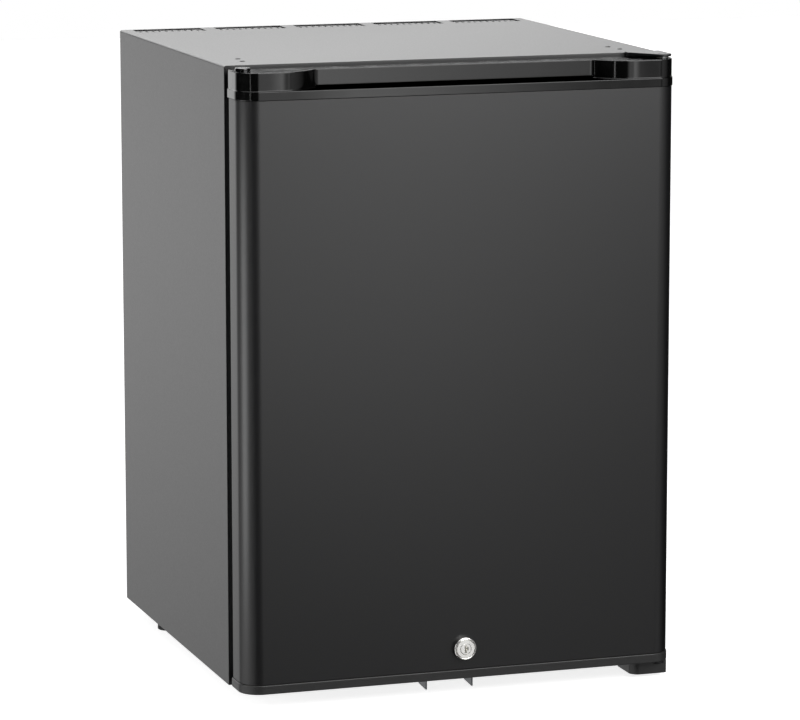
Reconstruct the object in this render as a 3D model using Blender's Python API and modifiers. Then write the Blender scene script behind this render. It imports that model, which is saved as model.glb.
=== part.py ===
"""Hotel minibar: an absorption fridge with one door hung on its right side.

Sizes are in metres. X runs across the front to the right, Y from the front to the back, and Z up.
The origin lies on the floor, under the middle of the whole object.
"""
import math

import bmesh
import bpy
from mathutils import Matrix, Vector

# Clearances
TOUCH_GAP = 0.0003
RUN_GAP = 0.00015

# Cabinet
CABINET_WIDTH = 0.402
CABINET_DEPTH = 0.356
CABINET_HEIGHT = 0.547
SHELL_SHEET = 0.0008
SHELL_BEND_RADIUS = 0.002
FRONT_FLANGE = 0.028
REAR_FLANGE = 0.012
BASE_SHEET = 0.001
INSULATION = 0.036
CAVITY_RADIUS = 0.008
LINER_SHEET = 0.002
LINER_FLANGE_INSET = 0.021
COMPARTMENT_DEPTH = 0.080
REAR_SHEET = 0.0006

# Vent slots in the top, and the guard below them
VENT_COUNT = 5
VENT_SIDE_MARGIN = 0.01125
VENT_BAR = 0.013
VENT_WIDTH = 0.022
VENT_EDGE = 0.005
GUARD_SHEET = 0.0008
GUARD_FLANGE = 0.010
GUARD_DROP = 0.011
GUARD_LENGTH = 0.040

# Feet
FOOT_HEIGHT = 0.016
REAR_FOOT_RADIUS = 0.010
REAR_FOOT_SIDE_INSET = 0.0217
REAR_FOOT_REAR_INSET = 0.0714
FRONT_FOOT_RADIUS = 0.012
FRONT_FOOT_SIDE_INSET = 0.041
FRONT_FOOT_SETBACK = 0.045
FOOT_STUD_RADIUS = 0.003
FOOT_STUD_LENGTH = 0.010

# Screws in the top sheet, each pair by its distance from the sides and from the front
TOP_SCREW_HEAD_RADIUS = 0.0032
TOP_SCREW_HEAD_HEIGHT = 0.0012
TOP_SCREW_RADIUS = 0.0016
TOP_SCREW_LENGTH = 0.008
TOP_SCREWS = {"front": (0.0255, 0.031), "rear": (0.0280, 0.054)}

# Door
DOOR_GAP = 0.011
DOOR_THICKNESS = 0.036
DOOR_SIDE_INSET = 0.001
DOOR_CORNER_RADIUS = 0.018
DOOR_CORNER_STEPS = 8
DOOR_TOP_DROP = 0.0025
DOOR_BOTTOM_LIFT = 0.0012
PANEL_SHEET = 0.0008
PANEL_LIP = 0.008

# Cap along the door's top, with its grip recess, and trim along the bottom
CAP_UPPER_HEIGHT = 0.0167
CAP_LEDGE_HEIGHT = 0.0071
CAP_WALL = 0.0025
RIM_PROUD = 0.0008
GRIP_DEPTH = 0.020
GRIP_SIDE_MARGIN = 0.0755
GRIP_CURVE_LENGTH = 0.040
GRIP_CURVE_STEPS = 10
GRIP_SLOT_HEIGHT = 0.0033
GRIP_SLOT_DEPTH = 0.008
TRIM_HEIGHT = 0.0082
TRIM_WALL = 0.0025
TRIM_EDGE_RADIUS = 0.001

# Inner side of the door
LINER_PLATE_INSET = 0.004
DYKE_SIDE_GAP = 0.007
DYKE_END_GAP = 0.008
DYKE_WIDTH = 0.022
DYKE_REACH = 0.022
DYKE_RADIUS = 0.005
GASKET_INSET = 0.0135
GASKET_WIDTH = 0.015
RACK_REACH = 0.058
RACK_WALL = 0.002
RACK_RADIUS = 0.004
RACKS = {"lower": (0.075, 0.055), "upper": (0.235, 0.055)}

# Door hinges
PIN_SIDE_INSET = 0.0085
PIN_FORWARD = 0.028
PIN_RADIUS = 0.003
PIN_REACH = 0.0125
COLLAR_RADIUS = 0.0055
COLLAR_HEIGHT = 0.0007
BUSH_WALL = 0.0015
BUSH_LENGTH = 0.0115
TRIM_BOSS_WALL = 0.0013
CAP_BOSS_WALL = 0.0035
HINGE_PLATE = 0.0022
HINGE_PLATE_RISE = 0.001
HINGE_ARM_RADIUS = 0.008
HINGE_WIDTH = 0.0325
HINGE_LEG_HEIGHT = 0.012
HINGE_LEG_SHEET = 0.0022
HINGE_SCREW_RADIUS = 0.0016
HINGE_SCREW_HEAD_RADIUS = 0.003
HINGE_SCREW_HEAD = 0.0013
HINGE_SCREW_LENGTH = 0.010
BOTTOM_PLATE = 0.003
BOTTOM_PLATE_SETBACK = 0.024
WASHER_RADIUS = 0.0062
WASHER_HEIGHT = 0.0009
COVER_FORWARD = 0.035
COVER_DROP = 0.0122
COVER_CORNER_LEFT = 0.008
COVER_CORNER_RIGHT = 0.004
PLUG_HEAD_RADIUS = 0.0068
PLUG_HEAD_HEIGHT = 0.003

# Lock and its strike
LOCK_X = 0.002
LOCK_HEIGHT = 0.029
LOCK_PROUD = 0.005
BEZEL_RADIUS = 0.01025
BEZEL_STEP = 0.0014
BARREL_RADIUS = 0.009
ROTOR_RADIUS = 0.005
ROTOR_STUB_RADIUS = 0.0030
KEYWAY_WIDTH = 0.0012
KEYWAY_HEIGHT = 0.0060
KEYWAY_DEPTH = 0.010
LOCK_NUT_FLATS = 0.024
LOCK_NUT_HEIGHT = 0.004
CAM_SHEET = 0.002
CAM_LENGTH = 0.034
CAM_WIDTH = 0.009
CAM_FORWARD = 0.003
CAM_CLEARANCE = 0.0014
STRIKE_X = -0.0028
STRIKE_WIDTH = 0.0446
STRIKE_SHEET = 0.0015
STRIKE_FORWARD = 0.021
STRIKE_SETBACK = 0.020
STRIKE_DROP = 0.015

# Shelves
UPPER_SHELF_DROP = 0.161
SHELF_PITCH = 0.155
SHELF_SIDE_GAP = 0.0025
SHELF_SETBACK = 0.070
SHELF_REAR_GAP = 0.004
SHELF_BAR = 0.004
SHELF_ROWS = 2
SHELF_COLUMNS = 11
RAIL_WIDTH = 0.006
RAIL_HEIGHT = 0.005
RAIL_SETBACK = 0.030

# Evaporator, drip channel and control housing, placed from the cavity's walls and ceiling
EVAPORATOR_LEFT_GAP = 0.065
EVAPORATOR_RIGHT_GAP = 0.025
EVAPORATOR_DROP = 0.041
EVAPORATOR_HEIGHT = 0.070
EVAPORATOR_SPINE = 0.004
EVAPORATOR_FIN_REACH = 0.028
EVAPORATOR_FIN_SHEET = 0.0015
EVAPORATOR_FIN_COUNT = 15
CHANNEL_HEIGHT = 0.010
CHANNEL_REACH = 0.044
CHANNEL_DROP = 0.007
CHANNEL_WALL = 0.0015
DRAIN_INSET = 0.006
DRAIN_RADIUS = 0.0035
DRAIN_BEND = 0.010
HOUSING_WIDTH = 0.065
HOUSING_SIDE_GAP = 0.015
HOUSING_SETBACK = (0.055, 0.115)
HOUSING_HEIGHT = 0.022
HOUSING_WALL = 0.002
LENS_MARGIN = 0.008
LENS_HEIGHT = 0.002
KNOB_RADIUS = 0.0085
KNOB_REACH = 0.012
KNOB_SHAFT_RADIUS = 0.003
KNOB_SHAFT_LENGTH = 0.009

# Cooling unit behind the foam. Insets are from the cabinet's left and right side, in that order
UNIT_FORWARD = 0.038
PIPE_RADIUS = 0.006
JACKET_INSET = 0.066
JACKET_RADIUS = 0.026
JACKET_Z = (0.090, 0.330)
RISER_DROP = 0.069
CONDENSER_INSETS = (0.116, 0.096)
CONDENSER_FIN_RADIUS = 0.017
CONDENSER_FIN_COUNT = 12
CONDENSER_FIN_SHEET = 0.0015
FEED_INSET = 0.066
RETURN_INSET = 0.106
PORT_SIDE_MARGINS = (0.023, 0.015)
PORT_END_MARGIN = 0.015
COIL_INSETS = (0.141, 0.081)
COIL_HEIGHT = 0.175
COIL_DROP = 0.080
COIL_PASSES = 4
VESSEL_INSETS = (0.106, 0.051)
VESSEL_HEIGHT = 0.085
VESSEL_RADIUS = 0.024
PIPE_BEND = 0.016
HANGER_X = 0.030
HANGER_SHEET = 0.0015
HANGER_FOOT = 0.012
CRADLE_WIDTH = 0.040
CRADLE_HEIGHT = 0.030
CRADLE_SHEET = 0.002
PAN_INSET = 0.096
PAN_WIDTH = 0.145
PAN_DEPTH = 0.052
PAN_HEIGHT = 0.018
PAN_WALL = 0.0015
TERMINAL_INSET = 0.013
TERMINAL_WIDTH = 0.060
TERMINAL_DEPTH = 0.040
TERMINAL_HEIGHT = 0.056
TERMINAL_WALL = 0.002
INLET_WIDTH = 0.027
INLET_HEIGHT = 0.020
INLET_DEPTH = 0.016
INLET_WALL = 0.0015
INLET_PIN_WIDTH = 0.004
INLET_PIN_SHEET = 0.002
INLET_PIN_REACH = 0.012
INLET_PIN_SPREAD = 0.007
LEAD_RADIUS = 0.003

# Roundness
ROUND_SIDES = 24
SMALL_SIDES = 16
OPEN = 0.010          # how far a cutter runs out of what it cuts

# Places that follow from the sizes
FRONT = (DOOR_GAP + DOOR_THICKNESS + LOCK_PROUD - CABINET_DEPTH) / 2
REAR = FRONT + CABINET_DEPTH
HALF = CABINET_WIDTH / 2
BASE = FOOT_HEIGHT
TOP = BASE + CABINET_HEIGHT
CAVITY_HALF = HALF - INSULATION
CAVITY_FLOOR = BASE + INSULATION
CAVITY_CEILING = TOP - INSULATION
CAVITY_REAR = REAR - COMPARTMENT_DEPTH - INSULATION
LINER_FRONT = FRONT + SHELL_SHEET + TOUCH_GAP
FOAM_FRONT = LINER_FRONT + LINER_SHEET + TOUCH_GAP
PANEL_REAR = REAR - COMPARTMENT_DEPTH
PANEL_FRONT = PANEL_REAR - REAR_SHEET
FOAM_REAR = PANEL_FRONT - TOUCH_GAP
DOOR_BACK = FRONT - DOOR_GAP
DOOR_FRONT = DOOR_BACK - DOOR_THICKNESS
DOOR_HALF = HALF - DOOR_SIDE_INSET
DOOR_TOP = TOP - DOOR_TOP_DROP
DOOR_BOTTOM = BASE + DOOR_BOTTOM_LIFT
LEDGE_TOP = DOOR_TOP - CAP_UPPER_HEIGHT
LEDGE_BOTTOM = LEDGE_TOP - CAP_LEDGE_HEIGHT
TRIM_TOP = DOOR_BOTTOM + TRIM_HEIGHT
SEAL_PLANE = DOOR_BACK + TOUCH_GAP + LINER_SHEET
PIN_X = HALF - PIN_SIDE_INSET
PIN_Y = FRONT - PIN_FORWARD
BUSH_BORE = PIN_RADIUS + RUN_GAP
BUSH_RADIUS = BUSH_BORE + BUSH_WALL
BUSH_SEAT_RADIUS = BUSH_RADIUS + TOUCH_GAP
BUSH_SEAT_DEPTH = BUSH_LENGTH + 0.003
ARM_TOP = TOP + HINGE_PLATE_RISE
ARM_BOTTOM = ARM_TOP - HINGE_PLATE
BOTTOM_PLATE_TOP = BASE - TOUCH_GAP
LOCK_Z = BASE + LOCK_HEIGHT
CAM_BACK = DOOR_BACK - CAM_FORWARD
CAM_FRONT = CAM_BACK - CAM_SHEET
DYKE_HALF = CAVITY_HALF - DYKE_SIDE_GAP
DYKE_LOW = CAVITY_FLOOR + DYKE_END_GAP
DYKE_HIGH = CAVITY_CEILING - DYKE_END_GAP
POCKET_HALF = DYKE_HALF - DYKE_WIDTH
VENT_LENGTH = (CABINET_WIDTH - 2 * VENT_SIDE_MARGIN - (VENT_COUNT - 1) * VENT_BAR) / VENT_COUNT
VENT_PITCH = VENT_LENGTH + VENT_BAR
GRIP_HALF_WIDTH = DOOR_HALF - GRIP_SIDE_MARGIN
UPPER_SHELF = CAVITY_CEILING - UPPER_SHELF_DROP
SHELVES = {"lower": UPPER_SHELF - SHELF_PITCH, "upper": UPPER_SHELF}
EVAPORATOR_X = (EVAPORATOR_LEFT_GAP - CAVITY_HALF, CAVITY_HALF - EVAPORATOR_RIGHT_GAP)
EVAPORATOR_TOP = CAVITY_CEILING - EVAPORATOR_DROP
EVAPORATOR_LOW = EVAPORATOR_TOP - EVAPORATOR_HEIGHT
DRAIN_X = EVAPORATOR_X[0] + DRAIN_INSET
HOUSING_RIGHT = CAVITY_HALF - HOUSING_SIDE_GAP
HOUSING_X = (HOUSING_RIGHT - HOUSING_WIDTH, HOUSING_RIGHT)
JACKET_X = JACKET_INSET - HALF
JACKET_LOW = BASE + JACKET_Z[0]
JACKET_TOP = BASE + JACKET_Z[1]
RISER_TOP = TOP - RISER_DROP
CONDENSER_X = (CONDENSER_INSETS[0] - HALF, HALF - CONDENSER_INSETS[1])
FEED_X = HALF - FEED_INSET
RETURN_X = HALF - RETURN_INSET
PORT_X = (RETURN_X - PORT_SIDE_MARGINS[0], FEED_X + PORT_SIDE_MARGINS[1])
PORT_Z = (EVAPORATOR_LOW + PORT_END_MARGIN, EVAPORATOR_TOP - PORT_END_MARGIN)
PORT_MIDDLE = (PORT_Z[0] + PORT_Z[1]) / 2
COIL_X = (COIL_INSETS[0] - HALF, HALF - COIL_INSETS[1])
COIL_LOW = BASE + COIL_HEIGHT
COIL_TOP = PORT_MIDDLE - COIL_DROP
VESSEL_X = (VESSEL_INSETS[0] - HALF, HALF - VESSEL_INSETS[1])
PAN_X = (PAN_INSET - HALF, PAN_INSET - HALF + PAN_WIDTH)
TERMINAL_X = (TERMINAL_INSET - HALF, TERMINAL_INSET - HALF + TERMINAL_WIDTH)
UNIT_Y = REAR - UNIT_FORWARD
COMPARTMENT_FRONT = PANEL_REAR + TOUCH_GAP
FLOOR_OF_UNIT = BASE + BASE_SHEET + TOUCH_GAP


# Scene and materials

def clear_scene():
    for item in list(bpy.context.scene.objects):
        bpy.data.objects.remove(item, do_unlink=True)


def new_collection(name):
    collection = bpy.data.collections.new(name)
    bpy.context.scene.collection.children.link(collection)
    return collection


def finish(name, colour, roughness, metallic=0.0):
    """A Principled material; colour is linear RGB."""
    material = bpy.data.materials.new(name)
    material.use_nodes = True
    shader = material.node_tree.nodes["Principled BSDF"]
    shader.inputs["Base Color"].default_value = (*colour, 1.0)
    shader.inputs["Roughness"].default_value = roughness
    shader.inputs["Metallic"].default_value = metallic
    return material


# Meshes

def new_mesh(name, bm):
    bmesh.ops.recalc_face_normals(bm, faces=bm.faces)
    mesh = bpy.data.meshes.new(name)
    bm.to_mesh(mesh)
    bm.free()
    return mesh


def box_mesh(x, y, z):
    """A box between two values on each axis."""
    low = Vector((min(x), min(y), min(z)))
    high = Vector((max(x), max(y), max(z)))
    place = Matrix.Translation((low + high) / 2) @ Matrix.Diagonal((*(high - low), 1.0))
    bm = bmesh.new()
    bmesh.ops.create_cube(bm, size=1.0, matrix=place)
    return new_mesh("box", bm)


def rod_mesh(start, end, radius, sides=ROUND_SIDES):
    """A cylinder from start to end."""
    start, end = Vector(start), Vector(end)
    along = end - start
    place = Matrix.Translation((start + end) / 2) @ along.to_track_quat("Z", "Y").to_matrix().to_4x4()
    bm = bmesh.new()
    bmesh.ops.create_cone(bm, cap_ends=True, segments=sides, radius1=radius, radius2=radius,
                          depth=along.length, matrix=place)
    mesh = new_mesh("rod", bm)
    smooth(mesh)
    return mesh


def smooth(mesh, angle=35):
    mesh.shade_smooth()
    mesh.set_sharp_from_angle(angle=math.radians(angle))


def slab_mesh(outlines, low, high, plane="XY"):
    """Flat outlines, the outer one first and then its holes, given a thickness from low to high.

    In plane XY the outline's points are (x, y) and the thickness is along Z; in XZ they are (x, z)
    and the thickness is along Y; in YZ they are (y, z) and the thickness is along X.
    """
    curve = bpy.data.curves.new("outline", "CURVE")
    curve.dimensions = "2D"
    curve.fill_mode = "BOTH"
    curve.extrude = abs(high - low) / 2
    for outline in outlines:
        spline = curve.splines.new("POLY")
        spline.points.add(len(outline) - 1)
        for point, (u, v) in zip(spline.points, outline):
            point.co = (u, v, 0.0, 1.0)
        spline.use_cyclic_u = True
    middle = (low + high) / 2
    turns = {
        "XY": Matrix.Translation((0, 0, middle)),
        "XZ": Matrix.Translation((0, middle, 0)) @ Matrix.Rotation(math.radians(90), 4, "X"),
        "YZ": Matrix.Translation((middle, 0, 0)) @ Matrix(((0, 0, 1, 0), (1, 0, 0, 0),
                                                           (0, 1, 0, 0), (0, 0, 0, 1))),
    }
    mesh = mesh_from_curve(curve)
    mesh.transform(turns[plane])
    smooth(mesh)
    return mesh


def mesh_from_curve(curve):
    """The closed mesh of a curve, with its caps welded on."""
    holder = bpy.data.objects.new("curve", curve)
    bpy.context.scene.collection.objects.link(holder)
    evaluated = holder.evaluated_get(bpy.context.evaluated_depsgraph_get())
    mesh = bpy.data.meshes.new_from_object(evaluated)
    bpy.data.objects.remove(holder, do_unlink=True)
    bpy.data.curves.remove(curve)
    bm = bmesh.new()
    bm.from_mesh(mesh)
    bmesh.ops.remove_doubles(bm, verts=bm.verts, dist=0.000005)
    bmesh.ops.recalc_face_normals(bm, faces=bm.faces)
    bm.to_mesh(mesh)
    bm.free()
    return mesh


def pipe_mesh(points, radius):
    """A round pipe along a line of points, closed at both ends."""
    curve = bpy.data.curves.new("pipe", "CURVE")
    curve.dimensions = "3D"
    curve.bevel_depth = radius
    curve.bevel_resolution = 2
    curve.use_fill_caps = True
    spline = curve.splines.new("POLY")
    spline.points.add(len(points) - 1)
    for point, place in zip(spline.points, points):
        point.co = (*place, 1.0)
    mesh = mesh_from_curve(curve)
    smooth(mesh)
    return mesh


def profile_mesh(profile, closed=False):
    """The edges of a turned profile, given as (radius, height) down its outer side."""
    bm = bmesh.new()
    corners = [bm.verts.new((radius, 0.0, height)) for radius, height in profile]
    for first, second in zip(corners, corners[1:]):
        bm.edges.new((first, second))
    if closed:
        bm.edges.new((corners[-1], corners[0]))
    mesh = bpy.data.meshes.new("profile")
    bm.to_mesh(mesh)
    bm.free()
    return mesh


# Outlines

def arc(centre, radius, start, end, steps):
    """Points on an arc, angles in degrees from +u towards +v."""
    angles = [math.radians(start + (end - start) * step / steps) for step in range(steps + 1)]
    return [(centre[0] + radius * math.cos(a), centre[1] + radius * math.sin(a)) for a in angles]


def rectangle(u, v):
    return [(u[0], v[0]), (u[1], v[0]), (u[1], v[1]), (u[0], v[1])]


def rounded_path(corners, radius, steps=6):
    """A line of points with a round bend at each inner corner."""
    corners = [Vector(corner) for corner in corners]
    path = [corners[0]]
    for before, corner, after in zip(corners, corners[1:], corners[2:]):
        inward = (before - corner).normalized()
        outward = (after - corner).normalized()
        turn = math.pi - inward.angle(outward)
        reach = radius * math.tan(turn / 2)
        axis = (inward + outward).normalized()
        centre = corner + axis * (radius / math.cos(turn / 2))
        first = corner + inward * reach - centre
        last = corner + outward * reach - centre
        for step in range(steps + 1):
            share = step / steps
            swing = math.sin((1 - share) * turn), math.sin(share * turn)
            path.append(centre + (first * swing[0] + last * swing[1]) / math.sin(turn))
    return path + [corners[-1]]


def door_outline(grow, back):
    """Plan of the door: round front corners and a flat back. A positive grow makes it larger."""
    half = DOOR_HALF + grow
    radius = DOOR_CORNER_RADIUS + grow
    middle = DOOR_FRONT - grow + radius
    right = arc((half - radius, middle), radius, 0, -90, DOOR_CORNER_STEPS)
    left = arc((radius - half, middle), radius, -90, -180, DOOR_CORNER_STEPS)
    return [(half, back)] + right + left + [(-half, back)]


def grip_outline(grow=0.0):
    """Plan of the grip recess: a flat back wall with an S-curve at each end, open to the front."""
    depth = GRIP_DEPTH + grow
    reach = depth + RIM_PROUD
    half = GRIP_HALF_WIDTH + grow
    right = []
    for step in range(GRIP_CURVE_STEPS + 1):
        share = step / GRIP_CURVE_STEPS
        ease = (1 - math.cos(math.pi * share)) / 2
        right.append((half + GRIP_CURVE_LENGTH * share, DOOR_FRONT + depth - reach * ease))
    right.append((right[-1][0], DOOR_FRONT - OPEN))
    return right + [(-u, v) for u, v in reversed(right)]


def arm_outline(grow=0.0, setback=0.0):
    """Plan of a hinge arm: wide at the cabinet and round about the pin. Setback is behind the front."""
    radius = HINGE_ARM_RADIUS + grow
    inner = PIN_X + HINGE_ARM_RADIUS - HINGE_WIDTH - grow
    root = FRONT + setback
    nose = arc((PIN_X, PIN_Y), radius, 0, -150, 10)
    return [(PIN_X + radius, root)] + nose + [(inner, FRONT - PIN_FORWARD / 3), (inner, root)]


# Objects

def add_part(name, mesh, material, location=(0, 0, 0), rotation=(0, 0, 0), axis=None):
    """One named piece. Its mesh gets the piece's name; axis is the empty that carries it."""
    mesh.name = name
    part = bpy.data.objects.new(name, mesh)
    part.location = location
    part.rotation_euler = rotation
    mesh.materials.clear()
    mesh.materials.append(material)
    parts.objects.link(part)
    if axis:
        part.parent = axis
        part.matrix_parent_inverse = Matrix.Translation(axis.location).inverted()
    return part


def add_axis(name, location):
    """An empty on a joint's axis."""
    empty = bpy.data.objects.new(name, None)
    empty.location = location
    empty.empty_display_size = 0.02
    parts.objects.link(empty)
    return empty


def add_tool(name, mesh):
    """A shape that cuts or joins another, and isn't a piece itself."""
    tool = bpy.data.objects.new(name, mesh)
    tool.hide_render = True
    tool.display_type = "WIRE"
    cutters.objects.link(tool)
    return tool


def combine(target, operation, name, mesh):
    """Cut the mesh from the target, or join it on. Returns the tool."""
    tool = add_tool(name, mesh)
    modifier = target.modifiers.new(name, "BOOLEAN")
    modifier.operation = operation
    modifier.object = tool
    modifier.solver = "EXACT"
    return tool


def cut(target, name, mesh):
    return combine(target, "DIFFERENCE", name, mesh)


def join(target, name, mesh):
    return combine(target, "UNION", name, mesh)


def round_edges(target, radius, segments=2):
    modifier = target.modifiers.new("round_edges", "BEVEL")
    modifier.width = radius
    modifier.segments = segments
    modifier.limit_method = "ANGLE"
    modifier.angle_limit = math.radians(40)
    return modifier


def turn_profile(part, sides=ROUND_SIDES):
    modifier = part.modifiers.new("turned", "SCREW")
    modifier.axis = "Z"
    modifier.steps = sides
    modifier.render_steps = sides
    modifier.use_merge_vertices = True
    modifier.merge_threshold = 0.00001
    modifier.use_smooth_shade = True


def add_turned(name, profile, material, location, rotation=(0, 0, 0), axis=None, closed=False,
               sides=ROUND_SIDES):
    part = add_part(name, profile_mesh(profile, closed), material, location, rotation, axis)
    turn_profile(part, sides)
    return part


FACING_FRONT = (math.radians(90), 0, 0)
FACING_RIGHT = (0, math.radians(90), 0)


# Cabinet

def make_shell(paint):
    bend = SHELL_BEND_RADIUS
    outline = [(HALF, BASE)]
    outline += arc((HALF - bend, TOP - bend), bend, 0, 90, 3)
    outline += arc((bend - HALF, TOP - bend), bend, 90, 180, 3)
    outline += [(-HALF, BASE)]
    shell = add_part("outer_shell", slab_mesh([outline], FRONT, REAR, "XZ"), paint)
    inner = HALF - SHELL_SHEET
    below = BASE - OPEN
    cut(shell, "shell_inside", box_mesh((-inner, inner), (FRONT + SHELL_SHEET, REAR - SHELL_SHEET),
                                        (below, TOP - SHELL_SHEET)))
    for name, flange, wall in (("front", FRONT_FLANGE, FRONT), ("rear", REAR_FLANGE, REAR)):
        side = HALF - flange
        cut(shell, f"shell_{name}_opening", box_mesh((-side, side), (wall - OPEN, wall + OPEN),
                                                     (below, TOP - flange)))
    for index in range(VENT_COUNT):
        centre = (index - (VENT_COUNT - 1) / 2) * VENT_PITCH
        span = (centre - VENT_LENGTH / 2, centre + VENT_LENGTH / 2)
        depth = (REAR - VENT_EDGE - VENT_WIDTH, REAR - VENT_EDGE)
        cut(shell, f"vent_slot_{index + 1}", box_mesh(span, depth, (TOP - OPEN, TOP + OPEN)))
    for side in (-1, 1):
        for name, (inset, setback) in TOP_SCREWS.items():
            place = (side * (HALF - inset), FRONT + setback)
            cut(shell, f"top_screw_hole_{name}_{side}",
                rod_mesh((*place, TOP - OPEN), (*place, TOP + OPEN), TOP_SCREW_RADIUS + TOUCH_GAP,
                         SMALL_SIDES))
    for place in hinge_screw_places():
        cut(shell, "hinge_screw_hole",
            rod_mesh((place[0], FRONT - OPEN, place[1]), (place[0], FRONT + OPEN, place[1]),
                     HINGE_SCREW_RADIUS + TOUCH_GAP, SMALL_SIDES))
    return shell


def hinge_screw_places():
    """The (x, z) of the two screws that hold the top hinge bracket to the shell's front flange."""
    height = TOP - HINGE_LEG_HEIGHT / 2 - TOUCH_GAP
    middle = PIN_X + HINGE_ARM_RADIUS - HINGE_WIDTH / 2
    return [(middle - HINGE_WIDTH / 4, height), (middle + HINGE_WIDTH / 4, height)]


def make_top_screws(steel):
    for side, hand in ((-1, "left"), (1, "right")):
        for name, (inset, setback) in TOP_SCREWS.items():
            head = TOP_SCREW_HEAD_HEIGHT
            profile = [(0, head), (TOP_SCREW_HEAD_RADIUS * 0.6, head), (TOP_SCREW_HEAD_RADIUS, head / 2),
                       (TOP_SCREW_HEAD_RADIUS, 0), (TOP_SCREW_RADIUS, 0),
                       (TOP_SCREW_RADIUS, -TOP_SCREW_LENGTH), (0, -TOP_SCREW_LENGTH)]
            add_turned(f"top_screw_{hand}_{name}", profile, steel,
                       (side * (HALF - inset), FRONT + setback, TOP + TOUCH_GAP), sides=SMALL_SIDES)


def make_base_pan(paint):
    half = HALF - SHELL_SHEET - TOUCH_GAP
    plate_front = FRONT + SHELL_SHEET + TOUCH_GAP
    plate = box_mesh((-half, half), (plate_front, REAR - SHELL_SHEET - TOUCH_GAP),
                     (BASE, BASE + BASE_SHEET))
    pan = add_part("base_pan", plate, paint)
    lip = HALF - FRONT_FLANGE - TOUCH_GAP
    join(pan, "base_front_lip", box_mesh((-lip, lip), (FRONT, FRONT + SHELL_SHEET),
                                         (BASE, BASE + FRONT_FLANGE)))
    join(pan, "base_front_corner", box_mesh((-lip, lip), (FRONT, plate_front + OPEN),
                                            (BASE, BASE + BASE_SHEET)))
    for x, y, radius in foot_places():
        cut(pan, "foot_hole", rod_mesh((x, y, BASE - OPEN), (x, y, BASE + OPEN),
                                       FOOT_STUD_RADIUS + 2 * TOUCH_GAP))
    return pan


def foot_places():
    """The (x, y, pad radius) of the feet: rear left, rear right, front left, front right."""
    rear, rear_x = REAR - REAR_FOOT_REAR_INSET, HALF - REAR_FOOT_SIDE_INSET
    front, front_x = FRONT + FRONT_FOOT_SETBACK, HALF - FRONT_FOOT_SIDE_INSET
    return [(-rear_x, rear, REAR_FOOT_RADIUS), (rear_x, rear, REAR_FOOT_RADIUS),
            (-front_x, front, FRONT_FOOT_RADIUS), (front_x, front, FRONT_FOOT_RADIUS)]


def make_feet(rubber):
    names = ("foot_rear_left", "foot_rear_right", "foot_front_left", "foot_front_right")
    for name, (x, y, radius) in zip(names, foot_places()):
        shoulder = FOOT_HEIGHT - TOUCH_GAP
        edge = radius * 0.12
        stud = BASE + BASE_SHEET + FOOT_STUD_LENGTH
        profile = [(0, stud), (FOOT_STUD_RADIUS, stud), (FOOT_STUD_RADIUS, shoulder),
                   (radius * 0.8, shoulder), (radius, shoulder * 0.4), (radius, edge),
                   (radius - edge, 0), (0, 0)]
        add_turned(name, profile, rubber, (x, y, 0))


def make_liner(plastic):
    half = CAVITY_HALF + LINER_SHEET
    ahead = FRONT - 3 * OPEN
    tub = box_mesh((-half, half), (ahead, CAVITY_REAR + LINER_SHEET),
                   (CAVITY_FLOOR - LINER_SHEET, CAVITY_CEILING + LINER_SHEET))
    liner = add_part("inner_liner", tub, plastic)
    round_edges(liner, CAVITY_RADIUS + LINER_SHEET, 3)
    cut(liner, "liner_front", box_mesh((-HALF, HALF), (ahead - OPEN, LINER_FRONT), (BASE, TOP)))
    edge = HALF - LINER_FLANGE_INSET
    flange = rectangle((-edge, edge), (BASE + LINER_FLANGE_INSET, TOP - LINER_FLANGE_INSET))
    join(liner, "liner_flange", slab_mesh([flange], LINER_FRONT, LINER_FRONT + LINER_SHEET, "XZ"))
    hollow = cut(liner, "liner_cavity", box_mesh((-CAVITY_HALF, CAVITY_HALF), (ahead, CAVITY_REAR),
                                                 (CAVITY_FLOOR, CAVITY_CEILING)))
    round_edges(hollow, CAVITY_RADIUS, 3)
    inner = CAVITY_HALF - RAIL_WIDTH
    run = (FRONT + RAIL_SETBACK, CAVITY_REAR - CAVITY_RADIUS)
    for name, height in SHELVES.items():
        top = height - TOUCH_GAP
        for side in (-1, 1):
            join(liner, f"shelf_rail_{name}_{side}",
                 box_mesh((side * inner, side * (CAVITY_HALF + LINER_SHEET / 2)), run,
                          (top - RAIL_HEIGHT, top)))
    cut_port(liner)
    cut_drain(liner)
    return liner


def cut_port(target):
    """The opening behind the evaporator, through liner, foam and rear panel."""
    cut(target, "evaporator_port", box_mesh(PORT_X, (CAVITY_REAR - 0.001, PANEL_REAR + OPEN), PORT_Z))


def drain_height():
    return EVAPORATOR_LOW - CHANNEL_DROP - CHANNEL_HEIGHT + CHANNEL_WALL + DRAIN_RADIUS


def cut_drain(target):
    """The round hole that the drain tube runs through."""
    height = drain_height()
    cut(target, "drain_hole", rod_mesh((DRAIN_X, CAVITY_REAR - 0.001, height),
                                       (DRAIN_X, PANEL_REAR + OPEN, height),
                                       DRAIN_RADIUS + TOUCH_GAP, SMALL_SIDES))


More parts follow.
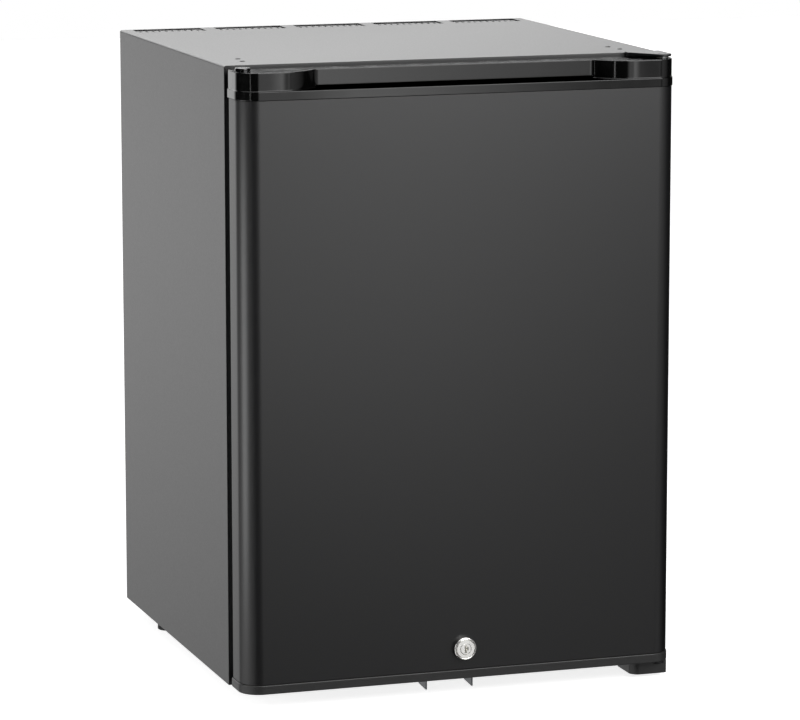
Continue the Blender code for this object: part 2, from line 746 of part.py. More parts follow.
def make_cabinet_foam(foam_finish):
    half = HALF - SHELL_SHEET - TOUCH_GAP
    block = box_mesh((-half, half), (FOAM_FRONT, FOAM_REAR),
                     (BASE + BASE_SHEET + TOUCH_GAP, TOP - SHELL_SHEET - TOUCH_GAP))
    foam = add_part("cabinet_foam", block, foam_finish)
    margin = LINER_SHEET + TOUCH_GAP
    half = CAVITY_HALF + margin
    ahead = FRONT - 3 * OPEN
    hollow = cut(foam, "foam_cavity", box_mesh((-half, half), (ahead, CAVITY_REAR + margin),
                                               (CAVITY_FLOOR - margin, CAVITY_CEILING + margin)))
    round_edges(hollow, CAVITY_RADIUS + margin, 3)
    cut_port(foam)
    cut_drain(foam)
    for x, y, radius in foot_places()[2:]:
        cut(foam, "foot_stud_space", rod_mesh((x, y, BASE - OPEN), (x, y, BASE + FOOT_STUD_LENGTH + OPEN),
                                              FOOT_STUD_RADIUS + 3 * TOUCH_GAP, SMALL_SIDES))
    for side in (-1, 1):
        for inset, setback in TOP_SCREWS.values():
            place = (side * (HALF - inset), FRONT + setback)
            cut(foam, "top_screw_space", rod_mesh((*place, TOP - TOP_SCREW_LENGTH - 0.001),
                                                  (*place, TOP + OPEN), TOP_SCREW_RADIUS + TOUCH_GAP,
                                                  SMALL_SIDES))
    for x, z in hinge_screw_places():
        cut(foam, "hinge_screw_space", rod_mesh((x, FRONT - OPEN, z), (x, FRONT + HINGE_SCREW_LENGTH, z),
                                                HINGE_SCREW_RADIUS + TOUCH_GAP, SMALL_SIDES))
    return foam


def make_rear_panel(zinc):
    half = HALF - SHELL_SHEET - TOUCH_GAP
    sheet = box_mesh((-half, half), (PANEL_FRONT, PANEL_REAR),
                     (BASE + BASE_SHEET + TOUCH_GAP, TOP - SHELL_SHEET - TOUCH_GAP))
    panel = add_part("rear_panel", sheet, zinc)
    cut_port(panel)
    cut_drain(panel)
    return panel


def make_vent_guard(zinc):
    """A sheet under the vent slots that sheds spilled drinks to the rear and lets warm air out."""
    roof = TOP - SHELL_SHEET - TOUCH_GAP
    start = REAR - VENT_EDGE - VENT_WIDTH - GUARD_FLANGE
    bend = start + GUARD_FLANGE - 0.002
    end = start + GUARD_LENGTH - VENT_EDGE
    outline = [(start, roof), (start, roof - GUARD_SHEET), (bend, roof - GUARD_SHEET),
               (end, roof - GUARD_DROP), (end, roof - GUARD_DROP + GUARD_SHEET), (bend, roof)]
    half = HALF - SHELL_SHEET - TOUCH_GAP
    return add_part("vent_guard", slab_mesh([outline], -half, half, "YZ"), zinc)


# Door

def make_door_panel(paint, hinge_axis):
    """The bent front sheet of the door: an open strip given its thickness inwards."""
    outer = door_outline(0.0, DOOR_BACK)
    lips = [(DOOR_HALF - PANEL_LIP, DOOR_BACK)], [(PANEL_LIP - DOOR_HALF, DOOR_BACK)]
    path = lips[0] + outer + lips[1]
    low, high = TRIM_TOP + TOUCH_GAP, LEDGE_BOTTOM - TOUCH_GAP
    bm = bmesh.new()
    corners = [bm.verts.new((x, y, low)) for x, y in path]
    edges = [bm.edges.new(pair) for pair in zip(corners, corners[1:])]
    raised = bmesh.ops.extrude_edge_only(bm, edges=edges)["geom"]
    lifted = [item for item in raised if isinstance(item, bmesh.types.BMVert)]
    bmesh.ops.translate(bm, verts=lifted, vec=(0, 0, high - low))
    mesh = bpy.data.meshes.new("door_panel")
    bm.to_mesh(mesh)
    bm.free()
    panel = add_part("door_panel", mesh, paint, axis=hinge_axis)
    sheet = panel.modifiers.new("sheet", "SOLIDIFY")
    sheet.thickness = PANEL_SHEET
    sheet.offset = panel_side(mesh)
    sheet.use_even_offset = True
    cut(panel, "lock_hole", rod_mesh((LOCK_X, DOOR_FRONT - OPEN, LOCK_Z), (LOCK_X, DOOR_FRONT + OPEN, LOCK_Z),
                                     BARREL_RADIUS + TOUCH_GAP))
    return panel


def panel_side(mesh):
    """Solidify grows along the normals at 1 and against them at -1: the side that is the door's inside."""
    front = min(mesh.polygons, key=lambda face: face.center.y)
    return 1.0 if front.normal.y > 0 else -1.0


def make_top_cap(gloss, hinge_axis):
    rim = slab_mesh([door_outline(RIM_PROUD, SEAL_PLANE)], LEDGE_BOTTOM, LEDGE_TOP)
    cap = add_part("door_top_cap", rim, gloss, axis=hinge_axis)
    join(cap, "cap_upper", slab_mesh([door_outline(0.0, SEAL_PLANE)], LEDGE_TOP - CAP_WALL, DOOR_TOP))
    cut(cap, "grip_recess", slab_mesh([grip_outline()], LEDGE_TOP, DOOR_TOP + OPEN))
    wall = DOOR_FRONT + GRIP_DEPTH
    slot = (-GRIP_HALF_WIDTH, GRIP_HALF_WIDTH)
    cut(cap, "grip_slot", box_mesh(slot, (wall - CAP_WALL, wall + GRIP_SLOT_DEPTH),
                                   (LEDGE_TOP, LEDGE_TOP + GRIP_SLOT_HEIGHT)))
    hollow = cut(cap, "cap_inside", slab_mesh([door_outline(-CAP_WALL, SEAL_PLANE - CAP_WALL)],
                                              LEDGE_BOTTOM - OPEN, DOOR_TOP - CAP_WALL))
    cut(hollow, "grip_wall", slab_mesh([grip_outline(CAP_WALL)], LEDGE_TOP - CAP_WALL, DOOR_TOP + OPEN))
    slot_grown = (slot[0] - CAP_WALL, slot[1] + CAP_WALL)
    cut(hollow, "slot_wall", box_mesh(slot_grown, (wall - OPEN, wall + GRIP_SLOT_DEPTH + CAP_WALL),
                                      (LEDGE_TOP - CAP_WALL, LEDGE_TOP + GRIP_SLOT_HEIGHT + CAP_WALL)))
    for side in (-1, 1):
        place = (side * PIN_X, PIN_Y)
        cut(hollow, "pin_boss", rod_mesh((*place, LEDGE_BOTTOM - OPEN * 2), (*place, DOOR_TOP + OPEN),
                                         BUSH_SEAT_RADIUS + CAP_BOSS_WALL))
        cut(cap, "bush_seat", rod_mesh((*place, DOOR_TOP - BUSH_SEAT_DEPTH), (*place, DOOR_TOP + OPEN),
                                       BUSH_SEAT_RADIUS))
    return cap


def make_bottom_trim(plastic, hinge_axis):
    trim = add_part("door_bottom_trim",
                    slab_mesh([door_outline(RIM_PROUD, SEAL_PLANE)], DOOR_BOTTOM, TRIM_TOP), plastic,
                    axis=hinge_axis)
    round_edges(trim, TRIM_EDGE_RADIUS, 1)
    cut(trim, "trim_inside", slab_mesh([door_outline(-TRIM_WALL, SEAL_PLANE - TRIM_WALL)],
                                       DOOR_BOTTOM + TRIM_WALL, TRIM_TOP + OPEN))
    place = (PIN_X, PIN_Y)
    join(trim, "trim_boss", rod_mesh((*place, DOOR_BOTTOM + TRIM_WALL / 2),
                                     (*place, DOOR_BOTTOM + BUSH_SEAT_DEPTH + TRIM_WALL),
                                     BUSH_SEAT_RADIUS + TRIM_BOSS_WALL))
    cut(trim, "trim_bush_seat", rod_mesh((*place, DOOR_BOTTOM - OPEN),
                                         (*place, DOOR_BOTTOM + BUSH_SEAT_DEPTH), BUSH_SEAT_RADIUS))
    left, right = cam_sweep(DOOR_BOTTOM + TRIM_WALL)
    cut(trim, "cam_slot", box_mesh((left, right), cam_slot_depth(), (DOOR_BOTTOM - OPEN, TRIM_TOP)))
    return trim


def cam_sweep(height):
    """The span in X that the turning cam needs as its tip comes down through this height."""
    tip = CAM_WIDTH / 2
    arm = CAM_LENGTH - tip
    drop = min(1.0, (LOCK_Z - height - tip) / arm)
    out = arm * math.sqrt(1.0 - drop * drop) + tip
    return LOCK_X - out - CAM_CLEARANCE, LOCK_X + tip + CAM_CLEARANCE


def cam_slot_depth():
    return CAM_FRONT - CAM_CLEARANCE, CAM_BACK + CAM_CLEARANCE


def make_door_foam(foam_finish, hinge_axis):
    inset = -(PANEL_SHEET + TOUCH_GAP)
    back = DOOR_BACK - PANEL_SHEET - TOUCH_GAP
    foam = add_part("door_foam", slab_mesh([door_outline(inset, back)], TRIM_TOP + TOUCH_GAP,
                                           LEDGE_BOTTOM - TOUCH_GAP), foam_finish, axis=hinge_axis)
    cut(foam, "lock_space", rod_mesh((LOCK_X, DOOR_FRONT - OPEN, LOCK_Z), (LOCK_X, CAM_FRONT, LOCK_Z),
                                     BARREL_RADIUS + TOUCH_GAP))
    nut_end = DOOR_FRONT + PANEL_SHEET + LOCK_NUT_HEIGHT + 3 * TOUCH_GAP
    cut(foam, "nut_space", rod_mesh((LOCK_X, DOOR_FRONT - OPEN, LOCK_Z), (LOCK_X, nut_end, LOCK_Z),
                                    LOCK_NUT_FLATS * 0.6))
    room = CAM_LENGTH + CAM_CLEARANCE
    cut(foam, "cam_space", box_mesh((LOCK_X - room, LOCK_X + CAM_WIDTH),
                                    (CAM_FRONT - CAM_CLEARANCE, DOOR_BACK + OPEN),
                                    (TRIM_TOP - OPEN, LOCK_Z + CAM_WIDTH)))
    cut(foam, "boss_space", rod_mesh((PIN_X, PIN_Y, TRIM_TOP - OPEN),
                                     (PIN_X, PIN_Y, DOOR_BOTTOM + BUSH_SEAT_DEPTH + TRIM_WALL + TOUCH_GAP),
                                     BUSH_SEAT_RADIUS + TRIM_BOSS_WALL + TOUCH_GAP))
    return foam


def make_door_liner(plastic, hinge_axis):
    """The moulded inner side of the door: a flat edge and a raised hollow frame around a pocket."""
    edge = DOOR_HALF - LINER_PLATE_INSET
    plate = box_mesh((-edge, edge), (DOOR_BACK - OPEN, SEAL_PLANE),
                     (TRIM_TOP + TOUCH_GAP, LEDGE_BOTTOM - TOUCH_GAP))
    liner = add_part("door_liner", plate, plastic, axis=hinge_axis)
    crest = FRONT + DYKE_REACH
    ahead = DOOR_BACK - 2 * OPEN
    block = join(liner, "dyke_block", box_mesh((-DYKE_HALF, DYKE_HALF), (ahead, crest),
                                               (DYKE_LOW, DYKE_HIGH)))
    round_edges(block, DYKE_RADIUS)
    cut(liner, "liner_back", box_mesh((-HALF, HALF), (ahead - OPEN, DOOR_BACK + TOUCH_GAP), (BASE, TOP)))
    sheet = LINER_SHEET
    hollow = cut(liner, "dyke_inside",
                 box_mesh((sheet - DYKE_HALF, DYKE_HALF - sheet), (ahead, crest - sheet),
                          (DYKE_LOW + sheet, DYKE_HIGH - sheet)))
    round_edges(hollow, DYKE_RADIUS - sheet)
    cut(hollow, "pocket_wall",
        box_mesh((-POCKET_HALF - sheet, POCKET_HALF + sheet), (ahead - OPEN, crest + OPEN),
                 (DYKE_LOW + DYKE_WIDTH - sheet, DYKE_HIGH - DYKE_WIDTH + sheet)))
    cut(liner, "pocket", box_mesh((-POCKET_HALF, POCKET_HALF), (SEAL_PLANE, crest + OPEN),
                                  (DYKE_LOW + DYKE_WIDTH, DYKE_HIGH - DYKE_WIDTH)))
    return liner


def make_racks(clear_plastic, hinge_axis):
    half = POCKET_HALF - TOUCH_GAP
    depth = (SEAL_PLANE + TOUCH_GAP, FRONT + RACK_REACH)
    for name, (height, tall) in RACKS.items():
        low = BASE + height
        rack = add_part(f"door_rack_{name}", box_mesh((-half, half), depth, (low, low + tall)),
                        clear_plastic, axis=hinge_axis)
        round_edges(rack, RACK_RADIUS)
        wall = RACK_WALL
        cut(rack, f"rack_inside_{name}", box_mesh((wall - half, half - wall),
                                                  (depth[0] + wall, depth[1] - wall),
                                                  (low + wall, low + tall + OPEN)))


def make_gasket(rubber, hinge_axis):
    outer = HALF - GASKET_INSET
    inner = outer - GASKET_WIDTH
    low, high = BASE + GASKET_INSET, TOP - GASKET_INSET
    outlines = [rectangle((-outer, outer), (low, high)),
                rectangle((-inner, inner), (low + GASKET_WIDTH, high - GASKET_WIDTH))]
    return add_part("door_gasket", slab_mesh(outlines, SEAL_PLANE + TOUCH_GAP, FRONT - TOUCH_GAP, "XZ"),
                    rubber, axis=hinge_axis)


# Hinges

def make_top_hinge(black_steel, steel):
    bracket = add_part("top_hinge_bracket", slab_mesh([arm_outline(setback=-TOUCH_GAP)], ARM_BOTTOM, ARM_TOP),
                       black_steel)
    left = PIN_X + HINGE_ARM_RADIUS - HINGE_WIDTH
    leg = (FRONT - TOUCH_GAP - HINGE_LEG_SHEET, FRONT - TOUCH_GAP)
    join(bracket, "hinge_leg", box_mesh((left, left + HINGE_WIDTH), leg,
                                        (TOP - HINGE_LEG_HEIGHT, ARM_BOTTOM + HINGE_PLATE / 2)))
    cut(bracket, "top_pin_hole", rod_mesh((PIN_X, PIN_Y, ARM_BOTTOM - OPEN), (PIN_X, PIN_Y, ARM_TOP + OPEN),
                                          PIN_RADIUS + TOUCH_GAP))
    for number, (x, z) in enumerate(hinge_screw_places(), start=1):
        cut(bracket, f"leg_hole_{number}", rod_mesh((x, FRONT - OPEN, z), (x, FRONT + OPEN, z),
                                                    HINGE_SCREW_RADIUS + TOUCH_GAP, SMALL_SIDES))
        head = HINGE_SCREW_HEAD
        profile = [(0, head), (HINGE_SCREW_HEAD_RADIUS * 0.7, head), (HINGE_SCREW_HEAD_RADIUS, 0),
                   (HINGE_SCREW_RADIUS, 0), (HINGE_SCREW_RADIUS, -HINGE_SCREW_LENGTH),
                   (0, -HINGE_SCREW_LENGTH)]
        add_turned(f"top_hinge_screw_{number}", profile, steel, (x, leg[0] - TOUCH_GAP, z), FACING_FRONT,
                   sides=SMALL_SIDES)
    collar = (DOOR_TOP + ARM_BOTTOM + COLLAR_HEIGHT) / 2
    tip = DOOR_TOP - PIN_REACH
    profile = [(0, ARM_TOP), (PIN_RADIUS, ARM_TOP), (PIN_RADIUS, collar), (COLLAR_RADIUS, collar),
               (COLLAR_RADIUS, collar - COLLAR_HEIGHT), (PIN_RADIUS, collar - COLLAR_HEIGHT),
               (PIN_RADIUS, tip + 0.001), (PIN_RADIUS - 0.001, tip), (0, tip)]
    add_turned("top_hinge_pin", profile, steel, (PIN_X, PIN_Y, 0))


def make_bottom_hinge(black_steel, steel, plastic):
    bracket = add_part("bottom_hinge_bracket",
                       slab_mesh([arm_outline(setback=BOTTOM_PLATE_SETBACK)],
                                 BOTTOM_PLATE_TOP - BOTTOM_PLATE, BOTTOM_PLATE_TOP), black_steel)
    cut(bracket, "bottom_pin_hole", rod_mesh((PIN_X, PIN_Y, BASE - OPEN), (PIN_X, PIN_Y, BASE + OPEN),
                                             PIN_RADIUS + TOUCH_GAP))
    tip = DOOR_BOTTOM + PIN_REACH
    foot = BOTTOM_PLATE_TOP - BOTTOM_PLATE
    profile = [(0, tip), (PIN_RADIUS - 0.001, tip), (PIN_RADIUS, tip - 0.001), (PIN_RADIUS, foot), (0, foot)]
    add_turned("bottom_hinge_pin", profile, steel, (PIN_X, PIN_Y, 0))
    low = (BOTTOM_PLATE_TOP + DOOR_BOTTOM - WASHER_HEIGHT) / 2
    ring = [(PIN_RADIUS + TOUCH_GAP, low + WASHER_HEIGHT), (WASHER_RADIUS, low + WASHER_HEIGHT),
            (WASHER_RADIUS, low), (PIN_RADIUS + TOUCH_GAP, low)]
    add_turned("hinge_washer", ring, steel, (PIN_X, PIN_Y, 0), closed=True)
    left = PIN_X + HINGE_ARM_RADIUS - HINGE_WIDTH - 0.0015
    right = HALF
    nose = FRONT - COVER_FORWARD
    outline = [(left, FRONT - TOUCH_GAP)]
    outline += arc((left + COVER_CORNER_LEFT, nose + COVER_CORNER_LEFT), COVER_CORNER_LEFT, 180, 270, 5)
    outline += arc((right - COVER_CORNER_RIGHT, nose + COVER_CORNER_RIGHT), COVER_CORNER_RIGHT, 270, 360, 4)
    outline += [(right, FRONT - TOUCH_GAP)]
    cover = add_part("bottom_hinge_cover", slab_mesh([outline], BASE - COVER_DROP, BOTTOM_PLATE_TOP), plastic)
    round_edges(cover, TRIM_EDGE_RADIUS, 1)
    cut(cover, "bracket_space", slab_mesh([arm_outline(TOUCH_GAP, BOTTOM_PLATE_SETBACK)],
                                          BOTTOM_PLATE_TOP - BOTTOM_PLATE - TOUCH_GAP, BASE + OPEN))


def make_bushes(nylon, hinge_axis):
    for name, low in (("upper_hinge_bush", DOOR_TOP - BUSH_LENGTH), ("lower_hinge_bush", DOOR_BOTTOM)):
        high = low + BUSH_LENGTH
        ring = [(BUSH_BORE, high), (BUSH_RADIUS, high), (BUSH_RADIUS, low), (BUSH_BORE, low)]
        add_turned(name, ring, nylon, (PIN_X, PIN_Y, 0), axis=hinge_axis, closed=True)


def make_hole_plug(gloss, hinge_axis):
    low = DOOR_TOP + TOUCH_GAP
    high = low + PLUG_HEAD_HEIGHT
    shank = DOOR_TOP - BUSH_LENGTH
    profile = [(0, high), (PLUG_HEAD_RADIUS * 0.85, high), (PLUG_HEAD_RADIUS, high - PLUG_HEAD_HEIGHT / 4),
               (PLUG_HEAD_RADIUS, low), (BUSH_RADIUS, low), (BUSH_RADIUS, shank), (0, shank)]
    add_turned("hinge_hole_plug", profile, gloss, (-PIN_X, PIN_Y, 0), axis=hinge_axis)


# Lock

def make_lock(chrome, steel, brass, hinge_axis):
    face = DOOR_FRONT - LOCK_PROUD
    seat = LOCK_PROUD - TOUCH_GAP
    rear = CAM_FRONT - TOUCH_GAP - face
    bore = ROTOR_RADIUS + 1.4 * RUN_GAP
    inner = BEZEL_RADIUS - BEZEL_STEP
    profile = [(inner, 0), (BEZEL_RADIUS - 0.0005, 0), (BEZEL_RADIUS, -0.0008), (BEZEL_RADIUS, -seat),
               (BARREL_RADIUS, -seat), (BARREL_RADIUS, -rear), (bore, -rear), (bore, -BEZEL_STEP),
               (inner, -BEZEL_STEP)]
    add_turned("lock_barrel", profile, chrome, (LOCK_X, face, LOCK_Z), FACING_FRONT, axis=hinge_axis,
               closed=True)
    nut_front = DOOR_FRONT + PANEL_SHEET + TOUCH_GAP
    hexagon = arc((LOCK_X, LOCK_Z), LOCK_NUT_FLATS / 2 / math.cos(math.radians(30)), 0, 300, 5)
    hole = arc((LOCK_X, LOCK_Z), BARREL_RADIUS + TOUCH_GAP, 0, 345, ROUND_SIDES - 1)
    add_part("lock_nut", slab_mesh([hexagon, hole], nut_front, nut_front + LOCK_NUT_HEIGHT, "XZ"), steel,
             axis=hinge_axis)
    lock_axis = add_axis("lock_axis", (LOCK_X, face, LOCK_Z))
    lock_axis.parent = hinge_axis
    lock_axis.matrix_parent_inverse = Matrix.Translation(hinge_axis.location).inverted()
    front = -BEZEL_STEP
    stub = CAM_BACK - face
    profile = [(0, front), (ROTOR_RADIUS, front), (ROTOR_RADIUS, -rear), (ROTOR_STUB_RADIUS, -rear),
               (ROTOR_STUB_RADIUS, -stub), (0, -stub)]
    rotor = add_turned("lock_rotor", profile, brass, (LOCK_X, face, LOCK_Z), FACING_FRONT, axis=lock_axis)
    cut(rotor, "keyway", box_mesh((LOCK_X - KEYWAY_WIDTH / 2, LOCK_X + KEYWAY_WIDTH / 2),
                                  (face - OPEN, face + KEYWAY_DEPTH),
                                  (LOCK_Z - KEYWAY_HEIGHT / 2, LOCK_Z + KEYWAY_HEIGHT / 2)))
    tip = CAM_WIDTH / 2
    outline = arc((LOCK_X, LOCK_Z), tip * 1.3, -65, 65, 6)
    outline += arc((LOCK_X - CAM_LENGTH + tip, LOCK_Z), tip, 90, 270, 8)
    hole = arc((LOCK_X, LOCK_Z), ROTOR_STUB_RADIUS + TOUCH_GAP, 0, 337.5, SMALL_SIDES - 1)
    add_part("lock_cam", slab_mesh([outline, hole], CAM_FRONT, CAM_BACK, "XZ"), steel, axis=lock_axis)


def make_strike(steel):
    """The bracket under the cabinet's front edge, with a slot for the cam and two ears bent down."""
    half = STRIKE_WIDTH / 2
    sides = (STRIKE_X - half, STRIKE_X + half)
    top = BASE - TOUCH_GAP
    nose = FRONT - STRIKE_FORWARD
    strike = add_part("strike_bracket", box_mesh(sides, (nose, FRONT + STRIKE_SETBACK),
                                                 (top - STRIKE_SHEET, top)), steel)
    for side, inward in ((sides[0], STRIKE_SHEET), (sides[1], -STRIKE_SHEET)):
        join(strike, "strike_ear", box_mesh((side, side + inward), (nose, FRONT - 0.001),
                                            (BASE - STRIKE_DROP, top - STRIKE_SHEET / 2)))
    left, right = cam_sweep(top)
    cut(strike, "strike_slot", box_mesh((left, right), cam_slot_depth(), (top - OPEN, top + OPEN)))
    return strike


# Inside the cavity

def make_shelves(wire):
    half = CAVITY_HALF - SHELF_SIDE_GAP
    front, rear = FRONT + SHELF_SETBACK, CAVITY_REAR - SHELF_REAR_GAP
    bar = SHELF_BAR
    column = (2 * half - bar) / SHELF_COLUMNS
    row = (rear - front - bar) / SHELF_ROWS
    outlines = [rectangle((-half, half), (front, rear))]
    for i in range(SHELF_COLUMNS):
        for j in range(SHELF_ROWS):
            left = -half + bar + i * column
            near = front + bar + j * row
            outlines.append(rectangle((left, left + column - bar), (near, near + row - bar)))
    for name, height in SHELVES.items():
        add_part(f"shelf_{name}", slab_mesh(outlines, height, height + bar), wire)


def make_evaporator(aluminium):
    """A finned plate on the cavity's rear wall: one comb-shaped outline, as an extrusion has."""
    rear = CAVITY_REAR - TOUCH_GAP
    face = rear - EVAPORATOR_SPINE
    tip = face - EVAPORATOR_FIN_REACH
    left, right = EVAPORATOR_X
    pitch = (right - left - EVAPORATOR_FIN_SHEET) / (EVAPORATOR_FIN_COUNT - 1)
    outline = [(right, rear), (left, rear)]
    for index in range(EVAPORATOR_FIN_COUNT):
        start = left + index * pitch
        stop = start + EVAPORATOR_FIN_SHEET
        outline += [(start, face), (start, tip), (stop, tip), (stop, face)]
    outline = outline[:2] + outline[3:-1]
    return add_part("evaporator_fins", slab_mesh([outline], EVAPORATOR_LOW, EVAPORATOR_TOP), aluminium)


def make_drip_channel(plastic):
    high = EVAPORATOR_LOW - CHANNEL_DROP
    low = high - CHANNEL_HEIGHT
    left, right = EVAPORATOR_X[0] - CHANNEL_WALL, EVAPORATOR_X[1] + CHANNEL_WALL
    rear = CAVITY_REAR - TOUCH_GAP
    front = rear - CHANNEL_REACH
    wall = CHANNEL_WALL
    channel = add_part("drip_channel", box_mesh((left, right), (front, rear), (low, high)), plastic)
    cut(channel, "channel_inside", box_mesh((left + wall, right - wall), (front + wall, rear - wall),
                                            (low + wall, high + OPEN)))
    height = drain_height()
    cut(channel, "channel_outlet", rod_mesh((DRAIN_X, rear - OPEN, height), (DRAIN_X, rear + OPEN, height),
                                            DRAIN_RADIUS * 0.7, SMALL_SIDES))
    return channel


def make_controls(plastic, lens_plastic, knob_plastic):
    high = CAVITY_CEILING - TOUCH_GAP
    low = high - HOUSING_HEIGHT
    near, far = FRONT + HOUSING_SETBACK[0], FRONT + HOUSING_SETBACK[1]
    wall = HOUSING_WALL
    housing = add_part("control_housing", box_mesh(HOUSING_X, (near, far), (low, high)), plastic)
    round_edges(housing, wall / 2, 1)
    cut(housing, "housing_inside", box_mesh((HOUSING_X[0] + wall, HOUSING_X[1] - wall),
                                            (near + wall, far - wall), (low + wall, high + OPEN)))
    x = (HOUSING_X[0] + HOUSING_X[1]) / 2
    z = (low + high) / 2
    cut(housing, "knob_shaft_hole", rod_mesh((x, near - OPEN, z), (x, near + OPEN, z),
                                             KNOB_SHAFT_RADIUS + 2 * TOUCH_GAP))
    margin = LENS_MARGIN
    cut(housing, "lamp_window", box_mesh((HOUSING_X[0] + 2 * margin, HOUSING_X[1] - 2 * margin),
                                         (near + 2 * margin, far - 2 * margin), (low - OPEN, low + OPEN)))
    lens = add_part("lamp_lens", box_mesh((HOUSING_X[0] + margin, HOUSING_X[1] - margin),
                                          (near + margin, far - margin),
                                          (low - TOUCH_GAP - LENS_HEIGHT, low - TOUCH_GAP)), lens_plastic)
    round_edges(lens, LENS_HEIGHT / 2)
    knob_axis = add_axis("knob_axis", (x, near, z))
    seat = TOUCH_GAP
    profile = [(0, KNOB_REACH), (KNOB_RADIUS * 0.86, KNOB_REACH), (KNOB_RADIUS * 0.95, KNOB_REACH - 0.001),
               (KNOB_RADIUS, seat), (KNOB_SHAFT_RADIUS, seat), (KNOB_SHAFT_RADIUS, -KNOB_SHAFT_LENGTH),
               (0, -KNOB_SHAFT_LENGTH)]
    knob = add_turned("thermostat_knob", profile, knob_plastic, (x, near, z), FACING_FRONT, axis=knob_axis)
    for side in (-1, 1):
        edge = side * KNOB_RADIUS * 0.3
        cut(knob, "knob_grip", box_mesh((x + edge, x + side * 2 * KNOB_RADIUS),
                                        (near - OPEN * 2, near - KNOB_REACH / 2),
                                        (z - 2 * KNOB_RADIUS, z + 2 * KNOB_RADIUS)))


# Cooling unit

def make_boiler(zinc):
    low, high = JACKET_LOW, JACKET_TOP
    edge = 0.003
    profile = [(0, high), (JACKET_RADIUS - edge, high), (JACKET_RADIUS, high - edge),
               (JACKET_RADIUS, low + edge), (JACKET_RADIUS - edge, low), (0, low)]
    add_turned("boiler_jacket", profile, zinc, (JACKET_X, UNIT_Y, 0))


def make_pipes(steel):
    top = RISER_TOP
    path = rounded_path([(JACKET_X, UNIT_Y, JACKET_TOP + TOUCH_GAP), (JACKET_X, UNIT_Y, top),
                         (CONDENSER_X[0] - TOUCH_GAP, UNIT_Y, top)], PIPE_BEND)
    add_part("rising_pipe", pipe_mesh(path, PIPE_RADIUS), steel)
    middle = PORT_MIDDLE
    spine = CAVITY_REAR + LINER_SHEET / 2
    path = rounded_path([(CONDENSER_X[1] + TOUCH_GAP, UNIT_Y, top), (FEED_X, UNIT_Y, top),
                         (FEED_X, UNIT_Y, middle), (FEED_X, spine, middle)], PIPE_BEND * 0.8)
    add_part("evaporator_pipe", pipe_mesh(path, PIPE_RADIUS * 0.8), steel)
    corners = [(RETURN_X, spine, middle), (RETURN_X, UNIT_Y, middle)]
    pitch = (COIL_TOP - COIL_LOW) / (COIL_PASSES - 1)
    for index in range(COIL_PASSES):
        height = COIL_TOP - index * pitch
        ends = (RETURN_X if index == 0 else COIL_X[1], COIL_X[0])
        if index % 2:
            ends = (COIL_X[0], COIL_X[1])
        corners += [(ends[0], UNIT_Y, height), (ends[1], UNIT_Y, height)]
    corners.append((corners[-1][0], UNIT_Y, BASE + VESSEL_HEIGHT + VESSEL_RADIUS + TOUCH_GAP))
    add_part("absorber_coil", pipe_mesh(rounded_path(corners, PIPE_BEND, 5), PIPE_RADIUS), steel)


def make_condenser(steel):
    """A pipe with round fins, turned in one piece about its own axis."""
    left, right = CONDENSER_X
    length = right - left
    pitch = length / CONDENSER_FIN_COUNT
    profile = [(0, length), (PIPE_RADIUS, length)]
    for index in reversed(range(CONDENSER_FIN_COUNT)):
        middle = (index + 0.5) * pitch
        high, low = middle + CONDENSER_FIN_SHEET / 2, middle - CONDENSER_FIN_SHEET / 2
        profile += [(PIPE_RADIUS, high), (CONDENSER_FIN_RADIUS, high), (CONDENSER_FIN_RADIUS, low),
                    (PIPE_RADIUS, low)]
    profile += [(PIPE_RADIUS, 0), (0, 0)]
    add_turned("condenser", profile, steel, (left, UNIT_Y, RISER_TOP), FACING_RIGHT, sides=12)


def make_vessel(steel):
    left, right = VESSEL_X
    length = right - left
    dome = VESSEL_RADIUS * 0.5
    slopes = [math.radians(angle) for angle in (0, 30, 60, 90)]
    cap = [(VESSEL_RADIUS * math.sin(slope), dome * math.cos(slope)) for slope in slopes]
    profile = [(r, length - dome + h) for r, h in cap] + [(r, dome - h) for r, h in reversed(cap)]
    add_turned("absorber_vessel", profile, steel, (left, UNIT_Y, BASE + VESSEL_HEIGHT), FACING_RIGHT)


def make_port_plug(foam_finish):
    gap = TOUCH_GAP
    plug = add_part("port_plug", box_mesh((PORT_X[0] + gap, PORT_X[1] - gap),
                                          (CAVITY_REAR + LINER_SHEET / 2, PANEL_REAR),
                                          (PORT_Z[0] + gap, PORT_Z[1] - gap)), foam_finish)
    for x, radius in ((FEED_X, PIPE_RADIUS * 0.8), (RETURN_X, PIPE_RADIUS)):
        cut(plug, "plug_hole", rod_mesh((x, CAVITY_REAR - OPEN, PORT_MIDDLE),
                                        (x, PANEL_REAR + OPEN, PORT_MIDDLE), radius + TOUCH_GAP,
                                        SMALL_SIDES))


